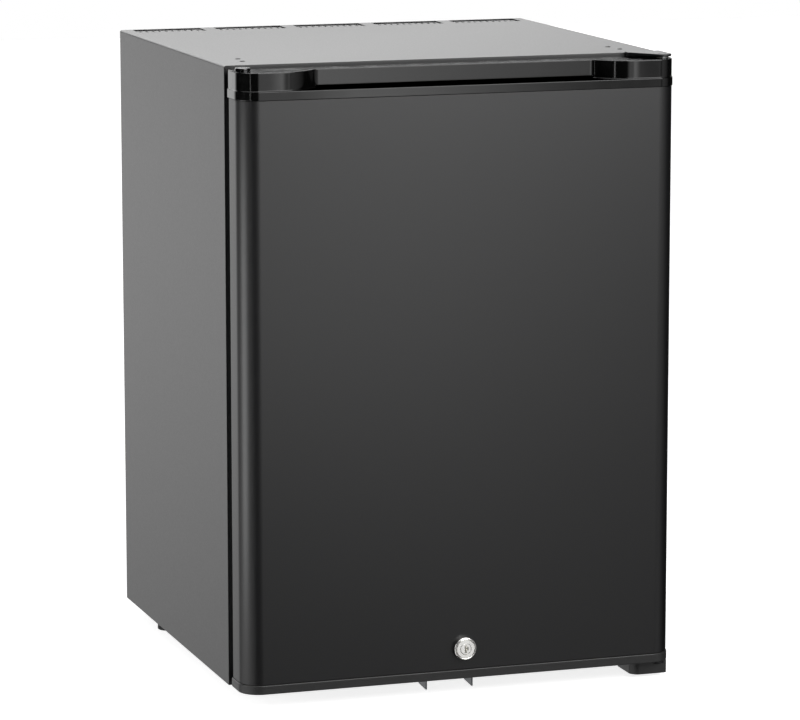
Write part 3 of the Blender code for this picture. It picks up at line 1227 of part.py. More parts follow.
def make_supports(zinc):
    pipe_face = UNIT_Y - PIPE_RADIUS - TOUCH_GAP
    wall = COMPARTMENT_FRONT
    sheet = HANGER_SHEET
    x = HANGER_X
    outline = [(x, wall), (x + HANGER_FOOT, wall), (x + HANGER_FOOT, wall + sheet), (x + sheet, wall + sheet),
               (x + sheet, pipe_face - sheet), (x + HANGER_FOOT, pipe_face - sheet),
               (x + HANGER_FOOT, pipe_face), (x, pipe_face)]
    low, high = COIL_LOW - PIPE_RADIUS * 2, COIL_TOP + PIPE_RADIUS * 2
    add_part("coil_hanger", slab_mesh([outline], low, high), zinc)
    rest = BASE + VESSEL_HEIGHT - VESSEL_RADIUS - TOUCH_GAP
    sheet = CRADLE_SHEET
    reach = UNIT_Y + VESSEL_RADIUS / 2
    outline = [(wall, rest - sheet), (reach, rest - sheet), (reach, rest), (wall + sheet, rest),
               (wall + sheet, rest + CRADLE_HEIGHT), (wall, rest + CRADLE_HEIGHT)]
    middle = (VESSEL_X[0] + VESSEL_X[1]) / 2
    sides = (middle - CRADLE_WIDTH / 2, middle + CRADLE_WIDTH / 2)
    add_part("vessel_cradle", slab_mesh([outline], *sides, "YZ"), zinc)


def make_drain(plastic):
    height = drain_height()
    pan_low = BASE + VESSEL_HEIGHT + VESSEL_RADIUS + TOUCH_GAP
    near = COMPARTMENT_FRONT + 3 * DRAIN_RADIUS
    end = pan_low + PAN_WALL + 2 * DRAIN_RADIUS
    path = rounded_path([(DRAIN_X, CAVITY_REAR, height), (DRAIN_X, near, height), (DRAIN_X, near, end)],
                        DRAIN_BEND)
    add_part("drain_tube", pipe_mesh(path, DRAIN_RADIUS), plastic)
    depth = (COMPARTMENT_FRONT + TOUCH_GAP, COMPARTMENT_FRONT + PAN_DEPTH)
    high = pan_low + PAN_HEIGHT
    wall = PAN_WALL
    pan = add_part("evaporation_pan", box_mesh(PAN_X, depth, (pan_low, high)), plastic)
    cut(pan, "pan_inside", box_mesh((PAN_X[0] + wall, PAN_X[1] - wall), (depth[0] + wall, depth[1] - wall),
                                    (pan_low + wall, high + OPEN)))


def make_terminal_box(plastic, inlet_plastic, cable):
    left, right = TERMINAL_X
    rear = REAR - OPEN
    front = rear - TERMINAL_DEPTH
    low, high = FLOOR_OF_UNIT, FLOOR_OF_UNIT + TERMINAL_HEIGHT
    wall = TERMINAL_WALL
    box = add_part("terminal_box", box_mesh((left, right), (front, rear), (low, high)), plastic)
    cut(box, "terminal_inside", box_mesh((left + wall, right - wall), (front + wall, rear + OPEN),
                                         (low + wall, high - wall)))
    x, z = (left + right) / 2, (low + high) / 2
    inlet = add_part("mains_inlet", box_mesh((left, right), (rear + TOUCH_GAP, rear + TOUCH_GAP + wall),
                                             (low, high)), inlet_plastic)
    half_width, half_height = INLET_WIDTH / 2, INLET_HEIGHT / 2
    back = rear + TOUCH_GAP + wall / 2
    join(inlet, "inlet_body", box_mesh((x - half_width, x + half_width), (back - INLET_DEPTH - wall, back),
                                       (z - half_height, z + half_height)))
    shell = INLET_WALL
    cut(inlet, "inlet_socket", box_mesh((x - half_width + shell, x + half_width - shell),
                                        (back - INLET_DEPTH, back + OPEN),
                                        (z - half_height + shell, z + half_height - shell)))
    for offset, lift in ((-INLET_PIN_SPREAD, -0.001), (INLET_PIN_SPREAD, -0.001), (0, 0.003)):
        join(inlet, "inlet_pin",
             box_mesh((x + offset - INLET_PIN_SHEET / 2, x + offset + INLET_PIN_SHEET / 2),
                      (back - INLET_DEPTH - wall / 2, back - INLET_DEPTH + INLET_PIN_REACH),
                      (z + lift - INLET_PIN_WIDTH / 2, z + lift + INLET_PIN_WIDTH / 2)))
    path = [(x, (front + rear) / 2, high + TOUCH_GAP), (x, (front + rear) / 2, high + OPEN),
            (JACKET_X, UNIT_Y, JACKET_LOW - OPEN), (JACKET_X, UNIT_Y, JACKET_LOW - TOUCH_GAP)]
    add_part("heater_lead", pipe_mesh(rounded_path(path, LEAD_RADIUS * 1.5, 4), LEAD_RADIUS), cable)


def main():
    black_paint = finish("satin_black_paint", (0.020, 0.020, 0.021), 0.40, 0.0)
    gloss = finish("gloss_black_plastic", (0.010, 0.010, 0.010), 0.12)
    satin_plastic = finish("satin_black_plastic", (0.014, 0.014, 0.014), 0.35)
    rubber = finish("black_rubber", (0.012, 0.012, 0.012), 0.70)
    white = finish("white_plastic", (0.78, 0.79, 0.80), 0.35)
    clear = finish("milky_plastic", (0.70, 0.74, 0.78), 0.15)
    foam = finish("rigid_foam", (0.62, 0.52, 0.30), 0.90)
    zinc = finish("galvanised_steel", (0.45, 0.46, 0.47), 0.42, 1.0)
    steel = finish("bright_steel", (0.62, 0.62, 0.62), 0.28, 1.0)
    black_steel = finish("black_steel", (0.018, 0.018, 0.018), 0.40)
    chrome = finish("chrome", (0.78, 0.78, 0.78), 0.10, 1.0)
    aluminium = finish("aluminium", (0.70, 0.71, 0.72), 0.35, 1.0)
    pipe = finish("black_pipe", (0.030, 0.030, 0.032), 0.50)
    wire = finish("coated_wire", (0.74, 0.75, 0.76), 0.30)
    nylon = finish("nylon", (0.60, 0.58, 0.52), 0.45)

    make_shell(black_paint)
    make_base_pan(black_steel)
    make_top_screws(steel)
    make_feet(rubber)
    make_liner(white)
    make_cabinet_foam(foam)
    make_rear_panel(zinc)
    make_vent_guard(zinc)

    hinge_axis = add_axis("door_hinge_axis", (PIN_X, PIN_Y, BASE))
    make_door_panel(black_paint, hinge_axis)
    make_top_cap(gloss, hinge_axis)
    make_bottom_trim(satin_plastic, hinge_axis)
    make_door_foam(foam, hinge_axis)
    make_door_liner(white, hinge_axis)
    make_racks(clear, hinge_axis)
    make_gasket(rubber, hinge_axis)
    make_bushes(nylon, hinge_axis)
    make_hole_plug(gloss, hinge_axis)
    make_lock(chrome, steel, steel, hinge_axis)
    make_top_hinge(black_steel, steel)
    make_bottom_hinge(black_steel, steel, satin_plastic)
    make_strike(steel)

    make_shelves(wire)
    make_evaporator(aluminium)
    make_drip_channel(white)
    make_controls(white, clear, white)

    make_boiler(zinc)
    make_pipes(pipe)
    make_condenser(pipe)
    make_vessel(pipe)
    make_port_plug(foam)
    make_supports(zinc)
    make_drain(satin_plastic)
    make_terminal_box(satin_plastic, satin_plastic, rubber)


clear_scene()
parts = new_collection("minibar")
cutters = new_collection("cutters")
main()
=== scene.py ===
"""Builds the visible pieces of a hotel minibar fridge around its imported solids."""
import math

import bmesh
import bpy
from bpy.props import FloatProperty, FloatVectorProperty, PointerProperty
from mathutils import Matrix, Vector


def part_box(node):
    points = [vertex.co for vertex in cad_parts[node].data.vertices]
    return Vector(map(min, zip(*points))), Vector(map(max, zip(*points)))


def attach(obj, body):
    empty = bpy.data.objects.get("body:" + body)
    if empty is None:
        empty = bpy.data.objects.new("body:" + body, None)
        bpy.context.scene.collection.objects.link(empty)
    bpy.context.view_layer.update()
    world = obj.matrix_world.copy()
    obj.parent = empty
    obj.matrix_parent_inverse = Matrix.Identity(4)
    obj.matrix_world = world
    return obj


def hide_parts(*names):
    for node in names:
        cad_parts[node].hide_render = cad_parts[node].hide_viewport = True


bl_info = {
    "name": "Minibar Fridge",
    "version": (1, 0, 0),
    "blender": (4, 5, 0),
    "location": "View3D > Sidebar > Minibar",
    "description": "Dresses the solids of a hotel minibar fridge with finished pieces and materials",
    "category": "Object",
}

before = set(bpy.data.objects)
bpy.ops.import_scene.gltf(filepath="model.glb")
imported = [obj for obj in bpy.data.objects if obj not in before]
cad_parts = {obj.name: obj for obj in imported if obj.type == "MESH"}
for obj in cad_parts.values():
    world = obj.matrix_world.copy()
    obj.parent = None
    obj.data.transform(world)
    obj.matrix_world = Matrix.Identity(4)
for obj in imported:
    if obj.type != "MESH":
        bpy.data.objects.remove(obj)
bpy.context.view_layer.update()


def box(node):
    """A node's lowest corner, its highest corner and the middle between them."""
    low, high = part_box(node)
    return low, high, (low + high) / 2


SHELL_LOW, SHELL_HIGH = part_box("outer_shell")
PANEL_LOW, PANEL_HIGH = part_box("door_panel")
CAP_LOW, CAP_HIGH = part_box("door_top_cap")
TRIM_LOW, TRIM_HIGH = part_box("door_bottom_trim")
PIN = box("top_hinge_pin")[2]
MM = 0.001
GAP = 0.0003
# How far a cutter reaches past what it cuts
PAST = 0.01
# Middles of the five vent slots
VENTS = [index * 0.0785 for index in range(-2, 3)]
# Radius and depth of the seats that the hinge bushes sit in
SEAT, SEAT_DEPTH = 0.00495, 0.0145
FORWARD, BACKWARD, RIGHT = (0, -1, 0), (0, 1, 0), (1, 0, 0)


def linear(hex_colour):
    """An sRGB hex colour as linear red, green and blue."""
    channels = [int(hex_colour[i:i + 2], 16) / 255 for i in (1, 3, 5)]
    return [c / 12.92 if c <= 0.04045 else ((c + 0.055) / 1.055) ** 2.4 for c in channels]


# Sizes and colours that a user would change

class MinibarSizes(bpy.types.PropertyGroup):
    """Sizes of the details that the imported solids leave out"""

    sheet: FloatProperty(name="Sheet", description="Thickness of the shell's and the door's steel",
                         default=0.0008, unit="LENGTH")
    bend_radius: FloatProperty(name="Shell Bend", description="Radius along the cabinet's top edges",
                               default=0.002, unit="LENGTH")
    door_radius: FloatProperty(name="Door Corner", description="Radius of the door's upright corners",
                               default=0.018, unit="LENGTH")
    rim: FloatProperty(name="Rim", description="How far cap and trim stand out around the door",
                       default=0.0008, unit="LENGTH")
    grip_depth: FloatProperty(name="Grip Depth", description="Depth of the grip recess",
                              default=0.020, unit="LENGTH")
    grip_half: FloatProperty(name="Grip Half Width", description="Half the width of the recess's back wall",
                             default=0.1245, unit="LENGTH")
    grip_curve: FloatProperty(name="Grip Curve", description="Length of the curve at each end of the recess",
                              default=0.040, unit="LENGTH")
    frame_wire: FloatProperty(name="Frame Wire", description="Radius of a shelf's frame",
                              default=0.002, unit="LENGTH")
    shelf_wire: FloatProperty(name="Shelf Wire", description="Radius of a shelf's thin wires",
                              default=0.0012, unit="LENGTH")
    edge: FloatProperty(name="Moulded Edge", description="Radius of the cap's edges",
                        default=0.0007, unit="LENGTH")


class MinibarColours(bpy.types.PropertyGroup):
    """Colours of the main finishes"""

    paint: FloatVectorProperty(name="Paint", description="Colour of the cabinet's and the door's paint",
                               subtype="COLOR", default=linear("#0b0b0c"))
    gloss: FloatVectorProperty(name="Cap", description="Colour of the door's glossy cap",
                               subtype="COLOR", default=linear("#050505"))


def sizes():
    return bpy.context.scene.minibar_sizes


def colours():
    return bpy.context.scene.minibar_colours


# Materials

def add_node(tree, kind, inputs=(), stops=(), **settings):
    """Adds a node. inputs maps a socket to a value or to the output that feeds it, stops colour a ramp."""
    node = tree.nodes.new(kind)
    for index, (position, colour) in enumerate(stops):
        elements = node.color_ramp.elements
        stop = elements[index] if index < 2 else elements.new(position)
        stop.position, stop.color = position, colour
    for name, value in settings.items():
        setattr(node, name, value)
    for socket, value in dict(inputs).items():
        if isinstance(value, bpy.types.NodeSocket):
            tree.links.new(value, node.inputs[socket])
        else:
            node.inputs[socket].default_value = value
    return node


def greys(stops):
    return [(at, (level, level, level, 1)) for at, level in stops]


def make_finish(name, colour, roughness, ior=1.5, metallic=0.0, patch_mm=40.0, tint=0.12, grain_mm=1.2,
                depth_mm=0.01, spread=0.06, stretch=(1, 1, 1), cells_mm=None, transmission=0.0):
    """A material with slow patches in its colour, and a grain in its roughness and its surface."""
    if name in bpy.data.materials:
        return bpy.data.materials[name]
    colour = linear(colour) if colour.startswith("#") else list(getattr(colours(), colour))
    material = bpy.data.materials.new(name)
    material.use_nodes = True
    tree = material.node_tree
    shader = tree.nodes["Principled BSDF"]
    place = add_node(tree, "ShaderNodeTexCoord").outputs["Object"]
    place = add_node(tree, "ShaderNodeMapping", {"Vector": place, "Scale": stretch}).outputs[0]
    patches = add_node(tree, "ShaderNodeTexNoise",
                       {"Vector": place, "Scale": 1 / (patch_mm * MM), "Detail": 3.0})
    grain = add_node(tree, "ShaderNodeTexNoise",
                     {"Vector": place, "Scale": 1 / (grain_mm * MM), "Detail": 2.0}).outputs["Fac"]
    pattern = patches.outputs["Fac"]
    if cells_mm:
        cells = add_node(tree, "ShaderNodeTexVoronoi", {"Vector": place, "Scale": 1 / (cells_mm * MM)})
        cells = add_node(tree, "ShaderNodeSeparateColor", {"Color": cells.outputs["Color"]})
        pattern = cells.outputs["Red"]
    stops = [(at, [min(1.0, c * share) for c in colour] + [1.0])
             for at, share in ((0.3, 1 - tint), (0.7, 1 + tint))]
    ramp = add_node(tree, "ShaderNodeValToRGB", {"Fac": pattern}, stops)
    rough = add_node(tree, "ShaderNodeMapRange", {
        "Value": grain, "From Min": 0.3, "From Max": 0.7,
        "To Min": max(0.02, roughness - spread), "To Max": roughness + spread})
    bump = add_node(tree, "ShaderNodeBump", {"Height": grain, "Distance": depth_mm * MM, "Strength": 1.0})
    tree.links.new(ramp.outputs["Color"], shader.inputs["Base Color"])
    tree.links.new(rough.outputs[0], shader.inputs["Roughness"])
    tree.links.new(bump.outputs[0], shader.inputs["Normal"])
    shader.inputs["Metallic"].default_value = metallic
    if not metallic:
        shader.inputs["IOR"].default_value = ior
    shader.inputs["Transmission Weight"].default_value = transmission
    return material


# Each finish: the name of its slot, and how it is made
FINISHES = {
    # Powder paint, baked: a fine orange peel that spreads reflections into a satin sheen
    "paint": ("cabinet_paint", dict(
        name="satin_powder_coated_steel", colour="paint", roughness=0.36, ior=1.55, patch_mm=120,
        tint=0.05, grain_mm=1.6, depth_mm=0.006, spread=0.02)),
    # ABS from a polished mould: sharp reflections, with a slight waviness
    "gloss_abs": ("gloss_black_plastic", dict(
        name="polished_moulded_abs", colour="gloss", roughness=0.09, ior=1.53, patch_mm=30,
        tint=0.05, grain_mm=14.0, depth_mm=0.006, spread=0.03)),
    # Polypropylene from a spark-eroded mould: an even, fine grain
    "satin_pp": ("satin_black_plastic", dict(
        name="grained_moulded_polypropylene", colour="#232323", roughness=0.38, ior=1.49, patch_mm=25,
        tint=0.08, grain_mm=0.7, depth_mm=0.02, spread=0.08)),
    # Extruded rubber: dull, with a faint bloom
    "rubber": ("black_rubber", dict(
        name="extruded_black_rubber", colour="#101010", roughness=0.62, ior=1.52, patch_mm=12,
        tint=0.2, grain_mm=0.9, depth_mm=0.02, spread=0.1)),
    # Vacuum-formed polystyrene: soft gloss and slow thickness waves
    "white_ps": ("white_plastic", dict(
        name="vacuum_formed_white_polystyrene", colour="#dfe1e2", roughness=0.33, ior=1.59, patch_mm=60,
        tint=0.02, grain_mm=3.0, depth_mm=0.02, spread=0.07)),
    # Clear polystyrene with a frosting agent: light comes through without a view
    "milky_ps": ("milky_plastic", dict(
        name="frosted_moulded_polystyrene", colour="#e3e8ea", roughness=0.32, ior=1.59, patch_mm=30,
        tint=0.02, grain_mm=5.0, depth_mm=0.006, spread=0.04, transmission=0.35)),
    # Polyurethane foamed in place: yellowish, with cells about a millimetre across
    "foam": (None, dict(
        name="foamed_polyurethane", colour="#d9c48a", roughness=0.9, patch_mm=18, tint=0.14,
        grain_mm=1.4, depth_mm=0.4, spread=0.05)),
    # Hot-dip zinc: crystals about 9 mm across that catch the light in turn
    "galvanised": ("galvanised_steel", dict(
        name="hot_dip_galvanised_steel", colour="#a9adb0", roughness=0.4, metallic=1.0, cells_mm=9,
        tint=0.14, grain_mm=2.5, depth_mm=0.01, spread=0.1)),
    # Electroplated zinc: bright, with fine rolling lines
    "zinc": ("bright_steel", dict(
        name="zinc_plated_steel", colour="#c4c6c8", roughness=0.26, metallic=1.0, patch_mm=6, tint=0.08,
        grain_mm=0.8, depth_mm=0.006, spread=0.08)),
    # Zinc plate under a dull passivation: grey, without a bright reflection
    "dull_zinc": ("bright_steel", dict(
        name="passivated_zinc_plate", colour="#77797b", roughness=0.45, metallic=1.0, patch_mm=6,
        tint=0.1, grain_mm=0.8, depth_mm=0.006, spread=0.08)),
    # Dipped black paint on a pressed bracket: slightly uneven satin
    "black_steel": ("black_steel", dict(
        name="dip_painted_black_steel", colour="#141415", roughness=0.36, patch_mm=10, tint=0.12,
        grain_mm=1.2, depth_mm=0.015, spread=0.08)),
    # Nickel plate on a die casting, blasted first: bright, without a sharp image
    "nickel": ("chrome", dict(
        name="satin_nickel_plated_zinc", colour="#efeeeb", roughness=0.20, metallic=1.0, patch_mm=8,
        tint=0.03, grain_mm=0.5, depth_mm=0.002, spread=0.04)),
    # Extruded and anodised: lines along the extrusion
    "aluminium": ("aluminium", dict(
        name="anodised_extruded_aluminium", colour="#c9cccd", roughness=0.36, metallic=1.0, patch_mm=20,
        tint=0.06, grain_mm=1.0, depth_mm=0.01, spread=0.1, stretch=(1, 1, 0.04))),
    # Black heat-proof lacquer, brushed on after welding: patchy, half matt
    "pipe": ("black_pipe", dict(
        name="black_lacquered_steel_pipe", colour="#222224", roughness=0.46, patch_mm=9, tint=0.3,
        grain_mm=1.5, depth_mm=0.05, spread=0.12)),
    # Steel wire dipped in white polyester: round, smooth, slightly waxy
    "wire": ("coated_wire", dict(
        name="polyester_coated_wire", colour="#d6d8d9", roughness=0.3, patch_mm=8, tint=0.04,
        grain_mm=1.2, depth_mm=0.02, spread=0.06)),
    # Natural nylon, turned: cream and waxy
    "nylon": ("nylon", dict(
        name="turned_natural_nylon", colour="#cfcab8", roughness=0.45, ior=1.53, patch_mm=5, tint=0.06,
        grain_mm=0.8, depth_mm=0.01, spread=0.06)),
}


# Meshes. Every piece is made in the row's frame, with its object at the origin

def span(middle, half):
    return middle - half, middle + half


def as_mesh(bm):
    bmesh.ops.recalc_face_normals(bm, faces=bm.faces)
    mesh = bpy.data.meshes.new("piece")
    bm.to_mesh(mesh)
    bm.free()
    return mesh


def skin(bm, rings, closed):
    """Faces between neighbouring rings of vertices, and from the last ring to the first if closed."""
    for first, second in list(zip(rings, rings[1:])) + ([(rings[-1], rings[0])] if closed else []):
        for i in range(len(first)):
            j = (i + 1) % len(first)
            corners = list(dict.fromkeys((first[i], first[j], second[j], second[i])))
            if len(corners) > 2:
                bm.faces.new(corners)


def prism(outline, low, high, along="Z"):
    """A bar whose flat outline is pushed along one axis. The outline's axes are the other two, in order."""
    order = {"Z": (0, 1, 2), "Y": (0, 2, 1), "X": (2, 0, 1)}[along]
    bm = bmesh.new()
    ends = []
    for level in (low, high):
        points = [(u, v, level) for u, v in outline]
        ends.append([bm.verts.new([p[i] for i in order]) for p in points])
    bm.faces.new(ends[0])
    bm.faces.new(ends[1])
    skin(bm, ends, False)
    return as_mesh(bm)


def block(x, y, z):
    return prism([(x[0], y[0]), (x[1], y[0]), (x[1], y[1]), (x[0], y[1])], z[0], z[1])


def soft_block(x, y, z, radius, segments=5):
    """A block whose edges are all rounded."""
    low, high = Vector((x[0], y[0], z[0])), Vector((x[1], y[1], z[1]))
    bm = bmesh.new()
    bmesh.ops.create_cube(bm, size=1.0, matrix=Matrix.Translation((low + high) / 2)
                          @ Matrix.Diagonal((*(high - low), 1.0)))
    bmesh.ops.bevel(bm, geom=bm.edges[:], offset=radius, segments=segments, profile=0.5, affect="EDGES")
    return as_mesh(bm)


def tray(low, high, wall, radius, inner_radius, segments=4, opening=2, over=PAST):
    """A tub that is open along one axis: its block, the cutter of its inside, and the one of its rim."""
    outer, inside, rim = [], [], []
    for axis in range(3):
        start, end = low[axis], high[axis]
        if axis == opening:
            outer.append((start, end + over))
            inside.append((start + wall, end + over + PAST))
            rim.append((end, end + over + 2 * PAST))
        else:
            outer.append((start, end))
            inside.append((start + wall, end - wall))
            rim.append((start - PAST, end + PAST))
    return soft_block(*outer, radius, segments), soft_block(*inside, inner_radius, segments - 1), block(*rim)


def cross_recess(top, axis, facing, arm, width, depth):
    """The two bars that cut a screw's cross, from the middle of its head. facing is the head's side."""
    others = [i for i in range(3) if i != axis]
    bars = []
    for long, short in (others, others[::-1]):
        spans = {axis: sorted((top[axis] - facing * depth, top[axis] + facing * PAST)),
                 long: span(top[long], arm), short: span(top[short], width / 2)}
        bars.append(block(spans[0], spans[1], spans[2]))
    return bars


def turned(profile, origin, towards=(0, 0, 1), steps=48, ring=False):
    """A turned piece: (radius, height) pairs spun about an axis through origin. A ring is closed."""
    spin = Vector(towards).to_track_quat("Z", "Y").to_matrix()
    origin = Vector(origin)
    angles = [2 * math.pi * i / steps for i in range(steps)]
    bm = bmesh.new()
    rings = []
    for radius, height in profile:
        if radius < 1e-7:
            rings.append([bm.verts.new(origin + spin @ Vector((0, 0, height)))] * steps)
            continue
        around = [Vector((radius * math.cos(a), radius * math.sin(a), height)) for a in angles]
        rings.append([bm.verts.new(origin + spin @ point) for point in around])
    skin(bm, rings, ring)
    return as_mesh(bm)


def rod(radius, bottom, top, origin, towards=(0, 0, 1), steps=48):
    """A plain round bar between two heights along an axis through origin."""
    return turned([(0, top), (radius, top), (radius, bottom), (0, bottom)], origin, towards, steps)


def tube(points, radius, sides=16, closed=False):
    """A round bar along a line of points, with flat ends unless it is closed."""
    points = [Vector(p) for p in points]
    angles = [2 * math.pi * k / sides for k in range(sides)]
    last = len(points) - 1
    bm = bmesh.new()
    rings = []
    side = None
    for i, point in enumerate(points):
        before = points[i - 1] if i or closed else point
        after = points[(i + 1) % len(points)] if i < last or closed else point
        along = (after - before).normalized()
        if side is None:
            side = along.orthogonal().normalized()
        side = (side - along * side.dot(along)).normalized()
        up = along.cross(side)
        rings.append([bm.verts.new(point + radius * (side * math.cos(a) + up * math.sin(a))) for a in angles])
    skin(bm, rings, closed)
    if not closed:
        bm.faces.new(rings[0])
        bm.faces.new(rings[-1])
    return as_mesh(bm)


def arc(centre, radius, start, end, steps):
    angles = [math.radians(start + (end - start) * i / steps) for i in range(steps + 1)]
    return [(centre[0] + radius * math.cos(a), centre[1] + radius * math.sin(a)) for a in angles]


def rounded_rectangle(u, v, radius, steps=5):
    outline = []
    for cu, cv, start in ((u[1], v[1], 0), (u[0], v[1], 90), (u[0], v[0], 180), (u[1], v[0], 270)):
        centre = (cu + (radius if cu == u[0] else -radius), cv + (radius if cv == v[0] else -radius))
        outline += arc(centre, radius, start, start + 90, steps)
    return outline


def rounded_path(corners, radius, steps=10):
    """A line of points with a round bend at each inner corner."""
    corners = [Vector(c) for c in corners]
    path = [corners[0]]
    for before, corner, after in zip(corners, corners[1:], corners[2:]):
        inward, outward = (before - corner).normalized(), (after - corner).normalized()
        turn = math.pi - inward.angle(outward)
        reach = radius * math.tan(turn / 2)
        centre = corner + (inward + outward).normalized() * (radius / math.cos(turn / 2))
        first, last = corner + inward * reach - centre, corner + outward * reach - centre
        for i in range(steps + 1):
            share = i / steps
            path.append(centre + (first * math.sin((1 - share) * turn) + last * math.sin(share * turn))
                        / math.sin(turn))
    return path + [corners[-1]]


def door_plan(grow, back, steps=18):
    """Plan of the door, with round front corners. A positive grow makes it larger."""
    half, radius = PANEL_HIGH.x + grow, sizes().door_radius + grow
    middle = PANEL_LOW.y - grow + radius
    return ([(half, back)] + arc((half - radius, middle), radius, 0, -90, steps)
            + arc((radius - half, middle), radius, -90, -180, steps) + [(-half, back)])


def cap_plan(inset, back, steps=20):
    """Plan of the cap above its ledge. A large arc and a small hollow one lead to the recess's wall."""
    size = sizes()
    turn = 2 * math.atan(size.grip_depth / size.grip_curve)
    hollow = 0.008
    large = size.grip_curve / math.sin(turn) - hollow
    wall = PANEL_LOW.y + size.grip_depth
    right = arc((size.grip_half + size.grip_curve, PANEL_LOW.y + large), large - inset,
                -90, -90 - math.degrees(turn), steps)
    right += arc((size.grip_half, wall - hollow), hollow + inset, 90 - math.degrees(turn), 90, steps // 2)[1:]
    plan = door_plan(-inset, back)
    middle = len(plan) // 2
    return plan[:middle] + right + [(-u, v) for u, v in reversed(right)] + plan[middle:]


def hinge_plan(low, high):
    """Plan of a hinge's arm, with a round nose about the pin."""
    nose = arc((PIN.x, PIN.y), high.x - PIN.x, 0, -150, 16)
    return [(high.x, high.y)] + nose + [(low.x, SHELL_LOW.y - 0.0093), (low.x, high.y)]


def drain_hole(face, radius, steps):
    """The cutter of the hole that lets the drain through a wall at face."""
    _, high, middle = box("drain_tube")
    return rod(radius, -PAST, PAST, (middle.x, face, high.z - 0.0035), BACKWARD, steps)


def rear_openings(front, face):
    """The cutters of the evaporator's port and of the drain, through the cabinet's rear."""
    low, high, _ = box("port_plug")
    port = block((low.x - GAP, high.x + GAP), (front, face + PAST), (low.z - GAP, high.z + GAP))
    return [port, drain_hole(face, 0.0038, 32)]


def worked(mesh, add=(), cut=()):
    """The mesh after others have been joined to it, and then others cut from it."""
    base = bpy.data.objects.new("base", mesh)
    tools = []
    bpy.context.scene.collection.objects.link(base)
    for operation, meshes in (("UNION", add), ("DIFFERENCE", cut)):
        for tool_mesh in meshes:
            tool = bpy.data.objects.new("tool", tool_mesh)
            bpy.context.scene.collection.objects.link(tool)
            modifier = base.modifiers.new(operation, "BOOLEAN")
            modifier.operation = operation
            modifier.solver = "EXACT"
            modifier.object = tool
            tools.append(tool)
    result = bpy.data.meshes.new_from_object(base.evaluated_get(bpy.context.evaluated_depsgraph_get()))
    for item in [base, *tools]:
        bpy.data.objects.remove(item)
    if not result.polygons:
        raise RuntimeError("a cut left nothing of a piece")
    return result


def merged(*meshes):
    """Several meshes as one, each as it is."""
    bm = bmesh.new()
    for mesh in meshes:
        bm.from_mesh(mesh)
    result = bpy.data.meshes.new("piece")
    bm.to_mesh(result)
    bm.free()
    return result


def add_piece(name, node, mesh, finish, body="cabinet", edge=0.0, segments=2, angle=35):
    """A finished piece on its body, in place of a node if one is named. Sharp edges get the radius edge."""
    usual_slot, recipe = FINISHES[finish]
    mesh.name = name
    mesh.materials.clear()
    mesh.materials.append(make_finish(**recipe))
    mesh.shade_smooth()
    piece = bpy.data.objects.new(name, mesh)
    bpy.context.scene.collection.objects.link(piece)
    if edge:
        bevel = piece.modifiers.new("edges", "BEVEL")
        bevel.width = edge
        bevel.segments = segments
        bevel.limit_method = "ANGLE"
        bevel.angle_limit = math.radians(angle)
        bevel.use_clamp_overlap = False
        bevel.harden_normals = True
    else:
        mesh.set_sharp_from_angle(angle=math.radians(angle))
    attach(piece, body)
    if node:
        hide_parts(node)


# Operators, one for each group of pieces

class MINIBAR_OT_cabinet_shell(bpy.types.Operator):
    """Folded steel shell with its vent slots"""
    bl_idname = "minibar.cabinet_shell"
    bl_label = "Cabinet Shell"

    def execute(self, context):
        low, high, bend, sheet = SHELL_LOW, SHELL_HIGH, sizes().bend_radius, sizes().sheet
        outline = [(high.x, low.z)] + arc((high.x - bend, high.z - bend), bend, 0, 90, 6)
        outline += arc((low.x + bend, high.z - bend), bend, 90, 180, 6) + [(low.x, low.z)]
        inner = high.x - sheet
        cuts = [block((-inner, inner), (low.y + sheet, high.y - sheet), (low.z - PAST, high.z - sheet))]
        for flange, wall in ((0.028, low.y), (0.012, high.y)):
            side = high.x - flange
            cuts.append(block((-side, side), span(wall, PAST), (low.z - PAST, high.z - flange)))
        for vent in VENTS:
            slot = rounded_rectangle(span(vent, 0.03275), (high.y - 0.030, high.y - 0.0035), 0.002)
            cuts.append(prism(slot, *span(high.z, PAST)))
        add_piece("cabinet_shell", "outer_shell", worked(prism(outline, low.y, high.y, "Y"), cut=cuts),
                  "paint", edge=0.0003, angle=40)
        return {"FINISHED"}


class MINIBAR_OT_vent_guard(bpy.types.Operator):
    """Flat perforated guard right below the vent slots, painted like the cabinet"""
    bl_idname = "minibar.vent_guard"
    bl_label = "Vent Guard"

    def execute(self, context):
        low, high, _ = box("vent_guard")
        sheet, lip, pitch = 0.0008, low.z + 0.0002, 0.0062
        section = [(low.y, high.z - sheet), (high.y - sheet, high.z - sheet), (high.y - sheet, lip),
                   (high.y, lip), (high.y, high.z), (low.y, high.z)]
        holes = []
        for vent in VENTS:
            for column in range(10):
                x = vent + (column - 4.5) * pitch
                for y in (low.y + 0.0125, low.y + 0.0225):
                    outline = rounded_rectangle(span(x, 0.0011), span(y, 0.0035), 0.001, 3)
                    holes.append(prism(outline, *span(high.z, 0.004)))
        guard = worked(prism(section, low.x, high.x, "X"), cut=[merged(*holes)])
        add_piece("perforated_guard", "vent_guard", guard, "paint")
        return {"FINISHED"}


